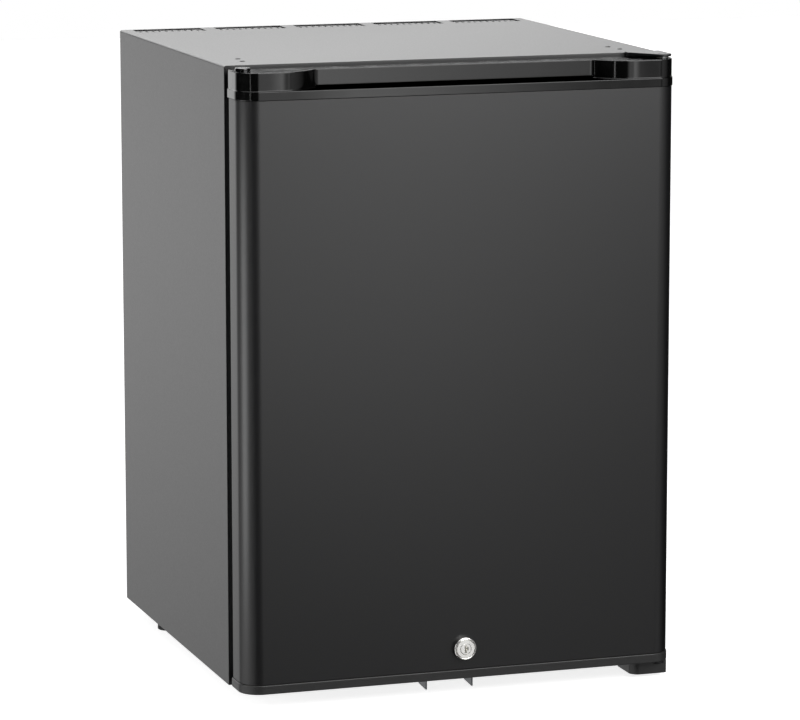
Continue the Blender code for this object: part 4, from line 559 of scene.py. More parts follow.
class MINIBAR_OT_feet(bpy.types.Operator):
    """Rubber feet with a ribbed rim"""
    bl_idname = "minibar.feet"
    bl_label = "Feet"

    def execute(self, context):
        for corner, body in (("rear_left", "cabinet"), ("rear_right", "cabinet"),
                             ("front_left", "left_levelling_foot"), ("front_right", "right_levelling_foot")):
            low, high, centre = box(f"foot_{corner}")
            radius, shoulder, stem = (high.x - low.x) / 2, SHELL_LOW.z - GAP, 0.003
            profile = [(0, high.z), (stem, high.z), (stem, shoulder), (radius * 0.7, shoulder)]
            profile += arc((radius * 0.78, shoulder - 0.002), 0.002, 90, 0, 5)
            for ring in range(3):
                level = 0.0105 - ring * 0.0026
                profile += [(radius * 0.97, level + 0.0006), (radius, level), (radius, level - 0.0007),
                            (radius * 0.97, level - 0.0012)]
            profile += arc((radius - 0.0015, 0.0015), 0.0015, 0, -90, 4)
            profile += [(radius * 0.55, 0), (radius * 0.5, 0.0008), (0, 0.0008)]
            add_piece(f"rubber_foot_{corner}", f"foot_{corner}", turned(profile, (centre.x, centre.y, 0)),
                      "rubber", body)
        return {"FINISHED"}


class MINIBAR_OT_door_skin(bpy.types.Operator):
    """Bent steel skin of the door"""
    bl_idname = "minibar.door_skin"
    bl_label = "Door Skin"

    def execute(self, context):
        sheet, back, half, lip = sizes().sheet, PANEL_HIGH.y, PANEL_HIGH.x, 0.008
        outline = [(half - lip, back)] + door_plan(0, back) + [(lip - half, back), (lip - half, back - sheet)]
        outline += door_plan(-sheet, back - sheet)[::-1] + [(half - lip, back - sheet)]
        lock = box("lock_barrel")[2]
        hole = rod(0.0093, -0.02, 0.02, (lock.x, PANEL_LOW.y, lock.z), FORWARD)
        add_piece("door_skin", "door_panel", worked(prism(outline, PANEL_LOW.z, PANEL_HIGH.z), cut=[hole]),
                  "paint", "door", edge=0.0003, angle=40)
        return {"FINISHED"}


class MINIBAR_OT_door_cap(bpy.types.Operator):
    """Glossy cap with its grip recess, and the plug in its spare hinge hole"""
    bl_idname = "minibar.door_cap"
    bl_label = "Door Cap"

    def execute(self, context):
        size, back, top, wall = sizes(), CAP_HIGH.y, CAP_HIGH.z, 0.0025
        ledge = top - 0.0160
        recess_wall = PANEL_LOW.y + size.grip_depth
        slot_height, slot_depth = 0.0016, 0.008
        slot = block(span(0, size.grip_half + 0.003), (recess_wall - wall, recess_wall + slot_depth),
                     (ledge, ledge + slot_height))
        room = prism(door_plan(-wall, back - wall), CAP_LOW.z - PAST, ledge - wall)
        hollow = worked(room, add=[prism(cap_plan(wall, back - wall), ledge - 2 * wall, top - wall)],
                        cut=[rod(0.0085, -0.05, 0.05, (x, PIN.y, PIN.z)) for x in (-PIN.x, PIN.x)])
        seats = [rod(SEAT, -SEAT_DEPTH, 0.02, (x, PIN.y, top)) for x in (-PIN.x, PIN.x)]
        cap = worked(prism(door_plan(size.rim, back), PANEL_HIGH.z + GAP / 6, ledge),
                     add=[prism(cap_plan(0, back), ledge - wall, top)], cut=[slot, hollow, *seats])
        add_piece("door_cap", "door_top_cap", cap, "gloss_abs", "door", edge=size.edge, segments=3)
        low, high, _ = box("hinge_hole_plug")
        radius, head, stem, soft = (high.x - low.x) / 2, top + GAP, 0.0045, 0.0012
        profile = [(0, high.z)] + arc((radius - soft, high.z - soft), soft, 90, 0, 5)
        profile += [(radius, head), (stem, head), (stem, low.z), (0, low.z)]
        add_piece("hinge_plug", "hinge_hole_plug", turned(profile, (-PIN.x, PIN.y, 0), steps=64),
                  "gloss_abs", "door")
        return {"FINISHED"}


class MINIBAR_OT_door_trim(bpy.types.Operator):
    """Moulded strip along the door's lower edge"""
    bl_idname = "minibar.door_trim"
    bl_label = "Door Trim"

    def execute(self, context):
        low, wall, top, back = TRIM_LOW.z, 0.0025, PANEL_LOW.z - GAP, TRIM_HIGH.y
        inside = prism(door_plan(-wall, back - wall), low + wall, top + PAST)
        boss = rod(0.0062, low + wall / 2, TRIM_HIGH.z, (PIN.x, PIN.y, 0))
        seat = rod(SEAT, 0, low + SEAT_DEPTH, (PIN.x, PIN.y, 0))
        cam_low, cam_high, _ = box("lock_cam")
        slot = block((cam_low.x + 0.006, cam_high.x + 0.0005), (cam_low.y - 0.0014, cam_high.y + 0.0014),
                     (0, top))
        trim = worked(prism(door_plan(sizes().rim, back), low, top), cut=[inside])
        add_piece("door_trim", "door_bottom_trim", worked(trim, add=[boss], cut=[seat, slot]), "satin_pp",
                  "door", edge=0.0009, segments=3)
        return {"FINISHED"}


class MINIBAR_OT_gasket(bpy.types.Operator):
    """Bellows gasket, mitred at its corners"""
    bl_idname = "minibar.gasket"
    bl_label = "Gasket"

    def execute(self, context):
        low, high, _ = box("door_gasket")
        depth, width = high.y - low.y, 0.015
        # Half of the strip's section: how far in from its outer edge, and how far forward of the seal
        section = [(0.0, 0.0), (0.0, 0.0012), (0.0012, 0.0022), (0.0006, 0.0034), (0.0018, 0.0046),
                   (0.0010, 0.0058), (0.0022, 0.0068), (0.0022, depth)]
        section += [(width - across, forward) for across, forward in reversed(section)]
        bm = bmesh.new()
        rings = []
        for sx, sz in ((1, 1), (-1, 1), (-1, -1), (1, -1)):
            corner = (high.x if sx > 0 else low.x, high.z if sz > 0 else low.z)
            rings.append([bm.verts.new((corner[0] - sx * across, high.y - forward, corner[1] - sz * across))
                          for across, forward in section])
        skin(bm, rings, True)
        add_piece("bellows_gasket", "door_gasket", as_mesh(bm), "rubber", "door", edge=0.0002)
        return {"FINISHED"}


class MINIBAR_OT_lock(bpy.types.Operator):
    """Bezel with its barrel, and the rotor with its keyway"""
    bl_idname = "minibar.lock"
    bl_label = "Lock"

    def execute(self, context):
        low, high, middle = box("lock_barrel")
        x, z, radius = middle.x, middle.z, (high.x - low.x) / 2
        seat, rear = PANEL_LOW.y - GAP - low.y, high.y - low.y
        groove, bore, barrel, soft = 0.0083, 0.00521, 0.009, 0.0011
        profile = [(bore, -0.0002), (bore + 0.0001, 0.0), (groove - 0.0003, 0.0)]
        profile += [(groove - 0.0002, -0.0002), (groove, -0.0006), (groove + 0.0002, -0.0003)]
        profile += arc((radius - soft, -soft), soft, 90, 0, 6)
        profile += [(radius, -seat + 0.0004), (radius - 0.0004, -seat), (barrel, -seat), (barrel, -rear),
                    (bore, -rear)]
        add_piece("lock_bezel", "lock_barrel", turned(profile, (x, low.y, z), FORWARD, 72, ring=True),
                  "nickel", "door")
        rotor_low, rotor_high, _ = box("lock_rotor")
        front = rotor_low.y
        proud, neck = front - low.y - 0.0001, 0.003
        profile = [(0, proud), (0.0046, proud)] + arc((0.0048, proud - 0.0002), 0.0002, 90, 0, 3)
        profile += [(0.005, front - high.y), (neck, front - high.y), (neck, front - rotor_high.y),
                    (0, front - rotor_high.y)]
        slit, bulge, half = 0.0011, 0.0027, 0.0034
        key = prism([(x - slit, z - half), (x + slit, z - half), (x + slit, z - 0.0018),
                     (x + bulge, z - 0.0011), (x + bulge, z + 0.0013), (x + slit, z + 0.0020),
                     (x + slit, z + half), (x - slit, z + half)], *span(front, PAST), "Y")
        add_piece("keyed_rotor", "lock_rotor", worked(turned(profile, (x, front, z), FORWARD), cut=[key]),
                  "nickel", "lock")
        return {"FINISHED"}


class MINIBAR_OT_hinges(bpy.types.Operator):
    """Hinge brackets, the upper pin and the lower cover"""
    bl_idname = "minibar.hinges"
    bl_label = "Hinges"

    def execute(self, context):
        low, high, _ = box("top_hinge_bracket")
        plate, bore = 0.0022, 0.0033
        holes = [rod(bore, -0.02, 0.02, (PIN.x, PIN.y, high.z))]
        for number in (1, 2):
            screw = box(f"top_hinge_screw_{number}")[2]
            holes.append(rod(0.0019, -0.02, 0.02, (screw.x, low.y + 0.03, screw.z), FORWARD))
        leg = block((low.x, high.x), (high.y - plate, high.y), (low.z, high.z - plate / 2))
        bracket = worked(prism(hinge_plan(low, high), high.z - plate, high.z), add=[leg], cut=holes)
        add_piece("upper_hinge_arm", "top_hinge_bracket", bracket, "black_steel", edge=0.0004, segments=3)
        low, high, _ = box("top_hinge_pin")
        collar, shank, soft = (high.x - low.x) / 2, 0.003, 0.0004
        level = max(v.co.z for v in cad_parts["top_hinge_pin"].data.vertices
                    if abs(math.hypot(v.co.x - PIN.x, v.co.y - PIN.y) - collar) < 0.0001)
        profile = [(0, high.z - soft), (0.0022, high.z)] + arc((0.0026, high.z - soft), soft, 90, 0, 3)
        profile += [(shank, level), (collar, level), (collar, level - 0.0007), (shank, level - 0.0007),
                    (shank, low.z + 0.001), (0.002, low.z), (0, low.z)]
        add_piece("upper_pin", "top_hinge_pin", turned(profile, (PIN.x, PIN.y, 0)), "dull_zinc")
        low, high, _ = box("bottom_hinge_bracket")
        arm = worked(prism(hinge_plan(low, high), low.z, high.z),
                     cut=[rod(bore, -0.02, 0.02, (PIN.x, PIN.y, high.z))])
        add_piece("lower_hinge_arm", "bottom_hinge_bracket", arm, "black_steel", edge=0.0004, segments=3)
        low, high, _ = box("bottom_hinge_cover")
        large, small, room_radius, room_left = 0.008, 0.004, 0.0083, 0.1677
        outline = [(low.x, high.y)] + arc((low.x + large, low.y + large), large, 180, 270, 10)
        outline += arc((high.x - small, low.y + small), small, 270, 360, 8) + [(high.x, high.y)]
        room = [(PIN.x + room_radius, high.y + PAST)] + arc((PIN.x, PIN.y), room_radius, 0, -150, 16)
        room += [(room_left, SHELL_LOW.y - 0.0093), (room_left, high.y + PAST)]
        cover = worked(prism(outline, low.z, high.z), cut=[prism(room, high.z - 0.0033, high.z + PAST)])
        add_piece("lower_hinge_cover", "bottom_hinge_cover", cover, "satin_pp", edge=0.0001, segments=3)
        return {"FINISHED"}


class MINIBAR_OT_strike(bpy.types.Operator):
    """Folded strike bracket under the door. The lower edges of its ears rise to the rear"""
    bl_idname = "minibar.strike"
    bl_label = "Strike"

    def execute(self, context):
        low, high, _ = box("strike_bracket")
        sheet, bend, past = 0.0015, 0.0022, 0.001
        inner, rear = bend - sheet, SHELL_LOW.y - past
        left, right = (low.x + bend, high.z - bend), (high.x - bend, high.z - bend)
        section = [(low.x, low.z)] + arc(left, bend, 180, 90, 6) + arc(right, bend, 90, 0, 6)
        section += [(high.x, low.z), (high.x - sheet, low.z)] + arc(right, inner, 0, 90, 6)
        section += arc(left, inner, 90, 180, 6) + [(low.x + sheet, low.z)]
        trim_back = block((low.x - PAST, high.x + PAST), (rear, high.y + PAST),
                          (low.z - PAST, high.z - sheet))
        _, cam_high, cam = box("lock_cam")
        slot = block((-0.0200, cam_high.x + 0.0006), span(cam.y, cam_high.y - cam.y + 0.0014),
                     span(high.z, PAST))
        wedge = prism([(low.y - past, low.z - past), (low.y - past, low.z + 0.0015),
                       (rear + past, low.z + 0.0030), (rear + past, low.z - past)],
                      low.x - past, high.x + past, "X")
        strike = worked(prism(section, low.y, high.y, "Y"), cut=[trim_back, slot, wedge])
        add_piece("cam_strike", "strike_bracket", strike, "dull_zinc", edge=0.0003)
        return {"FINISHED"}


class MINIBAR_OT_screws(bpy.types.Operator):
    """Cross-recessed screws in the top sheet and in the upper hinge"""
    bl_idname = "minibar.screws"
    bl_label = "Screws"

    def execute(self, context):
        shank = 0.0016
        for place in ("left_front", "left_rear", "right_front", "right_rear"):
            low, _, middle = box(f"top_screw_{place}")
            radius, seat, crown = 0.0024, SHELL_HIGH.z + 0.0001, SHELL_HIGH.z + 0.0007
            profile = [(0, crown)] + [(radius * math.sin(a), seat + (crown - seat) * math.cos(a))
                                      for a in (0.3, 0.6, 0.9, 1.2)]
            profile += [(radius, seat), (shank, seat), (shank, low.z), (0, low.z)]
            cross = cross_recess((middle.x, middle.y, crown), 2, 1, 0.0013, 0.0004, 0.0004)
            head = worked(turned(profile, (middle.x, middle.y, 0), steps=40), cut=cross)
            add_piece(f"roof_screw_{place}", f"top_screw_{place}", head, "paint")
        for number in (1, 2):
            low, high, middle = box(f"top_hinge_screw_{number}")
            radius, seat = (high.x - low.x) / 2, 0.0013
            tip = low.y + seat - high.y
            profile = [(0, seat)] + [(radius * math.sin(a), seat * math.cos(a) ** 0.6)
                                     for a in (0.5, 0.8, 1.1, 1.35)]
            profile += [(radius, 0), (shank, 0), (shank, tip), (0, tip)]
            cross = cross_recess((middle.x, low.y, middle.z), 1, -1, 0.0016, 0.0006, 0.0008)
            head = worked(turned(profile, (middle.x, low.y + seat, middle.z), FORWARD, 40), cut=cross)
            add_piece(f"hinge_screw_{number}", f"top_hinge_screw_{number}", head, "zinc")
        return {"FINISHED"}


class MINIBAR_OT_pins(bpy.types.Operator):
    """Lower hinge pin, its washer and the two nylon bushes"""
    bl_idname = "minibar.pins"
    bl_label = "Pins and Bushes"

    def execute(self, context):
        axis = (PIN.x, PIN.y, 0)
        low, high, _ = box("bottom_hinge_pin")
        radius, tip = (high.x - low.x) / 2, 0.001
        profile = [(0, high.z), (radius - tip, high.z), (radius, high.z - tip), (radius, low.z), (0, low.z)]
        add_piece("lower_pin", "bottom_hinge_pin", turned(profile, axis), "zinc")
        low, high, _ = box("hinge_washer")
        outer, bore, soft = (high.x - low.x) / 2, radius + GAP, 0.0002
        profile = [(bore, high.z)] + arc((outer - soft, high.z - soft), soft, 90, 0, 3)
        profile += arc((outer - soft, low.z + soft), soft, 0, -90, 3) + [(bore, low.z)]
        add_piece("polished_washer", "hinge_washer", turned(profile, axis, ring=True), "zinc")
        bore, inner, soft = radius + GAP / 2, 0.0004, 0.0003
        for node in ("lower_hinge_bush", "upper_hinge_bush"):
            low, high, _ = box(node)
            outer = (high.x - low.x) / 2
            profile = [(bore, high.z - inner), (bore + inner, high.z), (outer - soft, high.z),
                       (outer, high.z - soft), (outer, low.z + soft), (outer - soft, low.z),
                       (bore + inner, low.z), (bore, low.z + inner)]
            add_piece(f"nylon_{node}", node, turned(profile, axis, ring=True), "nylon", "door")
        return {"FINISHED"}


class MINIBAR_OT_cavity(bpy.types.Operator):
    """Vacuum-formed tub with its flange and shelf rails"""
    bl_idname = "minibar.cavity"
    bl_label = "Cavity Liner"

    def execute(self, context):
        low, high, _ = box("inner_liner")
        wall, flange, ahead = 0.002, 0.013, low.y - 0.1
        tub_x, tub_z = (low.x + flange, high.x - flange), (low.z + flange, high.z - flange)
        tub = soft_block(tub_x, (ahead, high.y), tub_z, 0.010)
        rim = prism(rounded_rectangle((low.x, high.x), (low.z, high.z), 0.004), low.y, low.y + wall, "Y")
        room = soft_block((tub_x[0] + wall, tub_x[1] - wall), (ahead, high.y - wall),
                          (tub_z[0] + wall, tub_z[1] - wall), 0.008)
        front = block((-0.3, 0.3), (ahead - 0.1, low.y), (-0.1, 0.8))
        liner = worked(tub, add=[rim], cut=[front, room])
        rails = []
        for name in ("lower", "upper"):
            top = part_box(f"shelf_{name}")[0].z - GAP
            for side in (-1, 1):
                width = sorted((side * (tub_x[1] - wall - 0.006), side * (tub_x[1] - wall / 2)))
                rails.append(soft_block(width, (SHELL_LOW.y + 0.030, high.y - 0.010), (top - 0.005, top),
                                        0.0018, 3))
        cuts = rear_openings(high.y - wall - 0.001, high.y)
        add_piece("cavity_tub", "inner_liner", worked(liner, add=rails, cut=cuts), "white_ps", edge=0.0006,
                  segments=3)
        return {"FINISHED"}


class MINIBAR_OT_shelves(bpy.types.Operator):
    """Welded wire shelves"""
    bl_idname = "minibar.shelves"
    bl_label = "Shelves"

    def execute(self, context):
        inset, wire, count = sizes().frame_wire, sizes().shelf_wire, 21
        for name in ("lower", "upper"):
            low, high, middle = box(f"shelf_{name}")
            left, right, front, back = low.x + inset, high.x - inset, low.y + inset, high.y - inset
            outline = rounded_rectangle((left, right), (front, back), 0.012, 8)
            parts = [tube([(u, v, middle.z) for u, v in outline], inset, closed=True)]
            for share in (0.35, 0.68):
                y, under = low.y + share * (high.y - low.y), middle.z - 0.0005
                parts.append(tube([(left, y, under), (right, y, under)], inset * 0.75, 12))
            for index in range(1, count):
                x, over = left + index * (high.x - low.x - 2 * inset) / count, high.z - wire
                parts.append(tube([(x, front, over), (x, back, over)], wire, 12))
            add_piece(f"wire_shelf_{name}", f"shelf_{name}", merged(*parts), "wire", f"{name}_shelf")
        return {"FINISHED"}


class MINIBAR_OT_controls(bpy.types.Operator):
    """Lamp and thermostat housing, with its lens, knob and dial"""
    bl_idname = "minibar.controls"
    bl_label = "Controls"

    def execute(self, context):
        low, high, middle = box("control_housing")
        margin = 0.016
        shell, inside, rim = tray(low, high, 0.002, 0.003, 0.0015)
        window = block((low.x + margin, high.x - margin), (low.y + margin, high.y - margin),
                       span(low.z, PAST))
        hole = rod(0.0036, -PAST, PAST, (middle.x, low.y, middle.z), FORWARD, 32)
        louvres = [block(span(low.x, PAST), (low.y + 0.020 + i * 0.006, low.y + 0.0225 + i * 0.006),
                         (low.z + 0.005, high.z - 0.005)) for i in range(5)]
        add_piece("lamp_housing", "control_housing",
                  worked(shell, cut=[inside, window, hole, rim, *louvres]), "white_ps", edge=0.0003)
        dots = []
        for index in range(7):
            angle = math.radians(225 - 45 * index)
            centre = (middle.x + 0.0101 * math.cos(angle), low.y, middle.z + 0.0096 * math.sin(angle))
            dots.append(rod(0.0003 + 0.00008 * index, -0.0005, 0.0001, centre, FORWARD, 20))
        add_piece("dial_dots", None, merged(*dots), "satin_pp")
        lens_low, lens_high, _ = box("lamp_lens")
        lens = soft_block(*zip(lens_low, lens_high), 0.0009, 3)
        grooves = []
        for index in range(12):
            x = lens_low.x + 0.004 + index * (lens_high.x - lens_low.x - 0.008) / 11
            profile = [(x - 0.0009, lens_low.z - 0.001), (x + 0.0009, lens_low.z - 0.001),
                       (x, lens_low.z + 0.0006)]
            grooves.append(prism(profile, lens_low.y + 0.003, lens_high.y - 0.003, "Y"))
        add_piece("ribbed_lens", "lamp_lens", worked(lens, cut=grooves), "milky_ps")
        knob_low, knob_high, _ = box("thermostat_knob")
        radius, soft = (knob_high.x - knob_low.x) / 2, 0.001
        reach, tail = low.y - knob_low.y, low.y - knob_high.y
        profile = [(0, reach)] + arc((radius * 0.9 - soft, reach - soft), soft, 90, 0, 4)
        profile += [(radius, GAP), (0.003, GAP), (0.003, tail), (0, tail)]
        knob = turned(profile, (middle.x, low.y, middle.z), FORWARD, 72)
        grip = [block(sorted((middle.x + side * 0.0025, middle.x + side * 0.02)),
                      (knob_low.y - PAST, low.y - reach / 2), span(middle.z, 0.02)) for side in (-1, 1)]
        notches = []
        for angle in range(0, 360, 15):
            x = middle.x + (radius + 0.0001) * math.cos(math.radians(angle))
            z = middle.z + (radius + 0.0001) * math.sin(math.radians(angle))
            notches.append(rod(0.0004, -0.0055, 0.02, (x, low.y - 0.006, z), BACKWARD, 8))
        pointer = block(span(middle.x, 0.0005), (knob_low.y - PAST, knob_low.y + 0.0005),
                        (middle.z + 0.001, middle.z + 0.02))
        add_piece("dial_knob", "thermostat_knob", worked(knob, cut=[*grip, pointer, merged(*notches)]),
                  "white_ps", "thermostat", edge=0.0002)
        return {"FINISHED"}


class MINIBAR_OT_evaporator(bpy.types.Operator):
    """Extruded evaporator fins and the channel that catches their drips"""
    bl_idname = "minibar.evaporator"
    bl_label = "Evaporator"

    def execute(self, context):
        low, high, _ = box("evaporator_fins")
        count, sheet, spine = 15, 0.0015, 0.004
        pitch = (high.x - low.x - sheet) / (count - 1)
        face, tip = high.y - spine, low.y + sheet / 2
        outline = [(high.x, high.y), (low.x, high.y)]
        for index in range(count):
            start = low.x + index * pitch
            root = [(start, face)] if index else []
            outline += root + arc((start + sheet / 2, tip), sheet / 2, 180, 360, 6)
            outline += [(start + sheet, face)] if index < count - 1 else []
        add_piece("cold_fins", "evaporator_fins", prism(outline, low.z, high.z), "aluminium", edge=0.0002,
                  angle=50)
        low, high, _ = box("drip_channel")
        trough, inside, rim = tray(low, high, 0.0015, 0.0025, 0.0018)
        cuts = [inside, rim, drain_hole(high.y, 0.0024, 24)]
        add_piece("drip_trough", "drip_channel", worked(trough, cut=cuts), "white_ps", edge=0.0004)
        return {"FINISHED"}


class MINIBAR_OT_door_liner(bpy.types.Operator):
    """Vacuum-formed inner side of the door, with its two racks"""
    bl_idname = "minibar.door_liner"
    bl_label = "Door Liner and Racks"

    def execute(self, context):
        low, high, _ = box("door_liner")
        sheet, width, behind = 0.002, 0.022, low.y - 0.02
        seal = low.y + sheet
        cavity_low, cavity_high, _ = box("inner_liner")
        half, foot, head = cavity_high.x - 0.022, cavity_low.z + 0.023, cavity_high.z - 0.023
        dyke = soft_block((-half, half), (behind, high.y), (foot, head), 0.006)
        plate = prism(rounded_rectangle((low.x, high.x), (low.z, high.z), 0.003), behind, seal, "Y")
        back = block((-0.3, 0.3), (behind - 0.05, low.y), (-0.1, 0.8))
        room = soft_block((sheet - half, half - sheet), (behind, high.y - sheet),
                          (foot + sheet, head - sheet), 0.004)
        core = block((width - sheet - half, half + sheet - width), (behind - 0.05, 0),
                     (foot + width - sheet, head + sheet - width))
        pocket = soft_block((width - half, half - width), (seal, high.y + 0.04), (foot + width, head - width),
                            0.005)
        hollow = worked(room, cut=[core])
        liner = worked(worked(plate, add=[dyke]), cut=[back, hollow, pocket])
        add_piece("door_tub", "door_liner", liner, "white_ps", "door", edge=0.0012, segments=3)
        for name in ("lower", "upper"):
            low, high, _ = box(f"door_rack_{name}")
            grooves = [block((low.x + 0.012, high.x - 0.012), (high.y - 0.0007, high.y + PAST),
                             (z, z + 0.0018))
                       for z in (high.z - 0.0085, high.z - 0.0130, low.z + 0.0105)]
            tub, inside, _ = tray(low, high, 0.002, 0.005, 0.0035, segments=5, over=0.02)
            rim = block((-0.3, 0.3), (low.y - PAST, high.y + PAST), (high.z, high.z + 0.04))
            add_piece(f"bottle_rack_{name}", f"door_rack_{name}", worked(tub, cut=[inside, rim, *grooves]),
                      "milky_ps", "door", edge=0.0005, segments=3)
        return {"FINISHED"}


class MINIBAR_OT_rear_wall(bpy.types.Operator):
    """Galvanised rear sheet with stamped ribs"""
    bl_idname = "minibar.rear_wall"
    bl_label = "Rear Wall"

    def execute(self, context):
        low, high, _ = box("rear_panel")
        sheet = prism([(low.x, low.z), (high.x, low.z), (high.x, high.z), (low.x, high.z)],
                      low.y, high.y, "Y")
        ribs = [soft_block(span(x, 0.006), (low.y + 0.0001, high.y + 0.0012), ends, 0.0005, 2)
                for x, ends in ((-0.176, (0.05, 0.53)), (-0.088, (0.15, 0.38)), (-0.02, (0.15, 0.46)),
                                (0.165, (0.05, 0.53)))]
        add_piece("rear_sheet", "rear_panel",
                  worked(sheet, add=ribs, cut=rear_openings(low.y - PAST, high.y)), "galvanised")
        return {"FINISHED"}


class MINIBAR_OT_cooling_unit(bpy.types.Operator):
    """Boiler jacket, pipes, condenser and absorber vessel"""
    bl_idname = "minibar.cooling_unit"
    bl_label = "Cooling Unit"

    def execute(self, context):
        jacket_low, jacket_high, jacket = box("boiler_jacket")
        radius, depth, soft = (jacket_high.x - jacket_low.x) / 2, jacket.y, 0.0015
        profile = [(0, jacket_high.z - 0.002), (radius - 0.006, jacket_high.z - 0.002),
                   (radius - 0.004, jacket_high.z)]
        profile += arc((radius - soft, jacket_high.z - soft), soft, 90, 0, 4)
        for level in (0.92, 0.5, 0.08):
            bead = jacket_low.z + level * (jacket_high.z - jacket_low.z)
            profile += [(radius, bead + 0.004), (radius - 0.0012, bead + 0.002),
                        (radius - 0.0012, bead - 0.002), (radius, bead - 0.004)]
        profile += arc((radius - soft, jacket_low.z + soft), soft, 0, -90, 4)
        profile += [(radius - 0.004, jacket_low.z), (radius - 0.006, jacket_low.z + 0.002),
                    (0, jacket_low.z + 0.002)]
        add_piece("boiler_casing", "boiler_jacket", turned(profile, (jacket.x, depth, 0), steps=72),
                  "galvanised")

        low, high, condenser = box("condenser")
        level, left, right, length = condenser.z, low.x, high.x, high.x - low.x
        fin, rim, bore, root, count = 0.0006, (high.z - low.z) / 2, 0.006, 0.0008, 12
        profile = [(0, length), (bore, length)]
        for index in reversed(range(count)):
            middle = (index + 0.5) * length / count
            profile += [(bore, middle + fin + 0.0006), (bore + root, middle + fin),
                        (rim - 0.0004, middle + fin), (rim, middle), (rim - 0.0004, middle - fin),
                        (bore + root, middle - fin), (bore, middle - fin - 0.0006)]
        profile += [(bore, 0), (0, 0)]
        add_piece("finned_condenser", "condenser", turned(profile, (left, depth, level), RIGHT, 56), "pipe")

        feed_low, feed_high, _ = box("evaporator_pipe")
        coil_low, coil_high, _ = box("absorber_coil")
        hanger_low, hanger_high, _ = box("coil_hanger")
        vessel_low, vessel_high, vessel = box("absorber_vessel")
        port_high, middle, spine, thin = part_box("port_plug")[1], box("port_plug")[2].z, feed_low.y, 0.0048
        riser = rounded_path([(jacket.x, depth, jacket_high.z + GAP), (jacket.x, depth, level),
                              (left - GAP, depth, level)], 0.016)
        add_piece("riser", "rising_pipe", tube(riser, bore, 24), "pipe")
        feed_x = feed_high.x - thin
        feed = rounded_path([(right + GAP, depth, level), (feed_x, depth, level), (feed_x, depth, middle),
                             (feed_x, spine, middle)], 0.0128)
        add_piece("feed_pipe", "evaporator_pipe", tube(feed, thin, 24), "pipe")
        ends = (coil_high.x - bore, coil_low.x + bore)
        top, bottom, passes = hanger_high.z - 2 * bore, hanger_low.z + 2 * bore, 4
        return_x = port_high.x + GAP - 0.055
        corners = [(return_x, spine, middle), (return_x, depth, middle)]
        for index in range(passes):
            height = top - index * (top - bottom) / (passes - 1)
            run = ends if index % 2 == 0 else ends[::-1]
            corners += [(run[0] if index else return_x, depth, height), (run[1], depth, height)]
        corners.append((corners[-1][0], depth, vessel_high.z + GAP))
        add_piece("coil", "absorber_coil", tube(rounded_path(corners, 0.016), bore, 24), "pipe")

        length, wide, dome = vessel_high.x - vessel_low.x, (vessel_high.z - vessel_low.z) / 2, 0.012
        end = [(wide * math.sin(math.radians(a)), dome * math.cos(math.radians(a))) for a in range(0, 91, 9)]
        seam = [(wide, length - dome - 0.002), (wide - 0.0005, length - dome - 0.003),
                (wide, length - dome - 0.004)]
        profile = [(r, length - dome + h) for r, h in end] + seam
        profile += [(r, length - h) for r, h in reversed(seam)] + [(r, dome - h) for r, h in reversed(end)]
        add_piece("vessel", "absorber_vessel", turned(profile, (vessel_low.x, depth, vessel.z), RIGHT, 64),
                  "pipe")
        return {"FINISHED"}


class MINIBAR_OT_drain(bpy.types.Operator):
    """Drain tube, evaporation pan, and the brackets beside them"""
    bl_idname = "minibar.drain"
    bl_label = "Drain and Brackets"

    def execute(self, context):
        low, high, hose = box("drain_tube")
        radius = (high.x - low.x) / 2
        near, level = high.y - radius, high.z - radius
        path = rounded_path([(hose.x, low.y, level), (hose.x, near, level), (hose.x, near, low.z)], 0.010)
        add_piece("drain_hose", "drain_tube", tube(path, radius, 20), "satin_pp")
        low, high, _ = box("evaporation_pan")
        pan, inside, rim = tray(low, high, 0.0015, 0.003, 0.002)
        add_piece("evaporation_tray", "evaporation_pan", worked(pan, cut=[inside, rim]), "satin_pp",
                  edge=0.0004)
        low, high, hanger = box("coil_hanger")
        sheet, wall = 0.0015, low.y
        section = [(low.x, wall), (high.x, wall), (high.x, wall + sheet), (low.x + sheet, wall + sheet),
                   (low.x + sheet, high.y - sheet), (high.x, high.y - sheet), (high.x, high.y),
                   (low.x, high.y)]
        holes = [rod(0.006, -0.02, 0.02, (low.x, hanger.y, low.z + share * (high.z - low.z)), RIGHT, 32)
                 for share in (0.18, 0.5, 0.82)]
        add_piece("coil_bracket", "coil_hanger", worked(prism(section, low.z, high.z), cut=holes),
                  "galvanised", edge=0.0004)
        low, high, cradle = box("vessel_cradle")
        sheet, foot = 0.002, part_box("absorber_vessel")[0].z - GAP
        section = [(low.y, foot - sheet), (high.y, foot - sheet), (high.y, foot), (low.y + sheet, foot),
                   (low.y + sheet, high.z), (low.y, high.z)]
        gusset = prism([(low.y + sheet / 2, foot - sheet / 2), (low.y + 0.010, foot - sheet / 2),
                        (low.y + sheet / 2, foot + 0.010)], *span(cradle.x, 0.002), "X")
        add_piece("vessel_bracket", "vessel_cradle", worked(prism(section, low.x, high.x, "X"), add=[gusset]),
                  "galvanised", edge=0.0004)
        return {"FINISHED"}


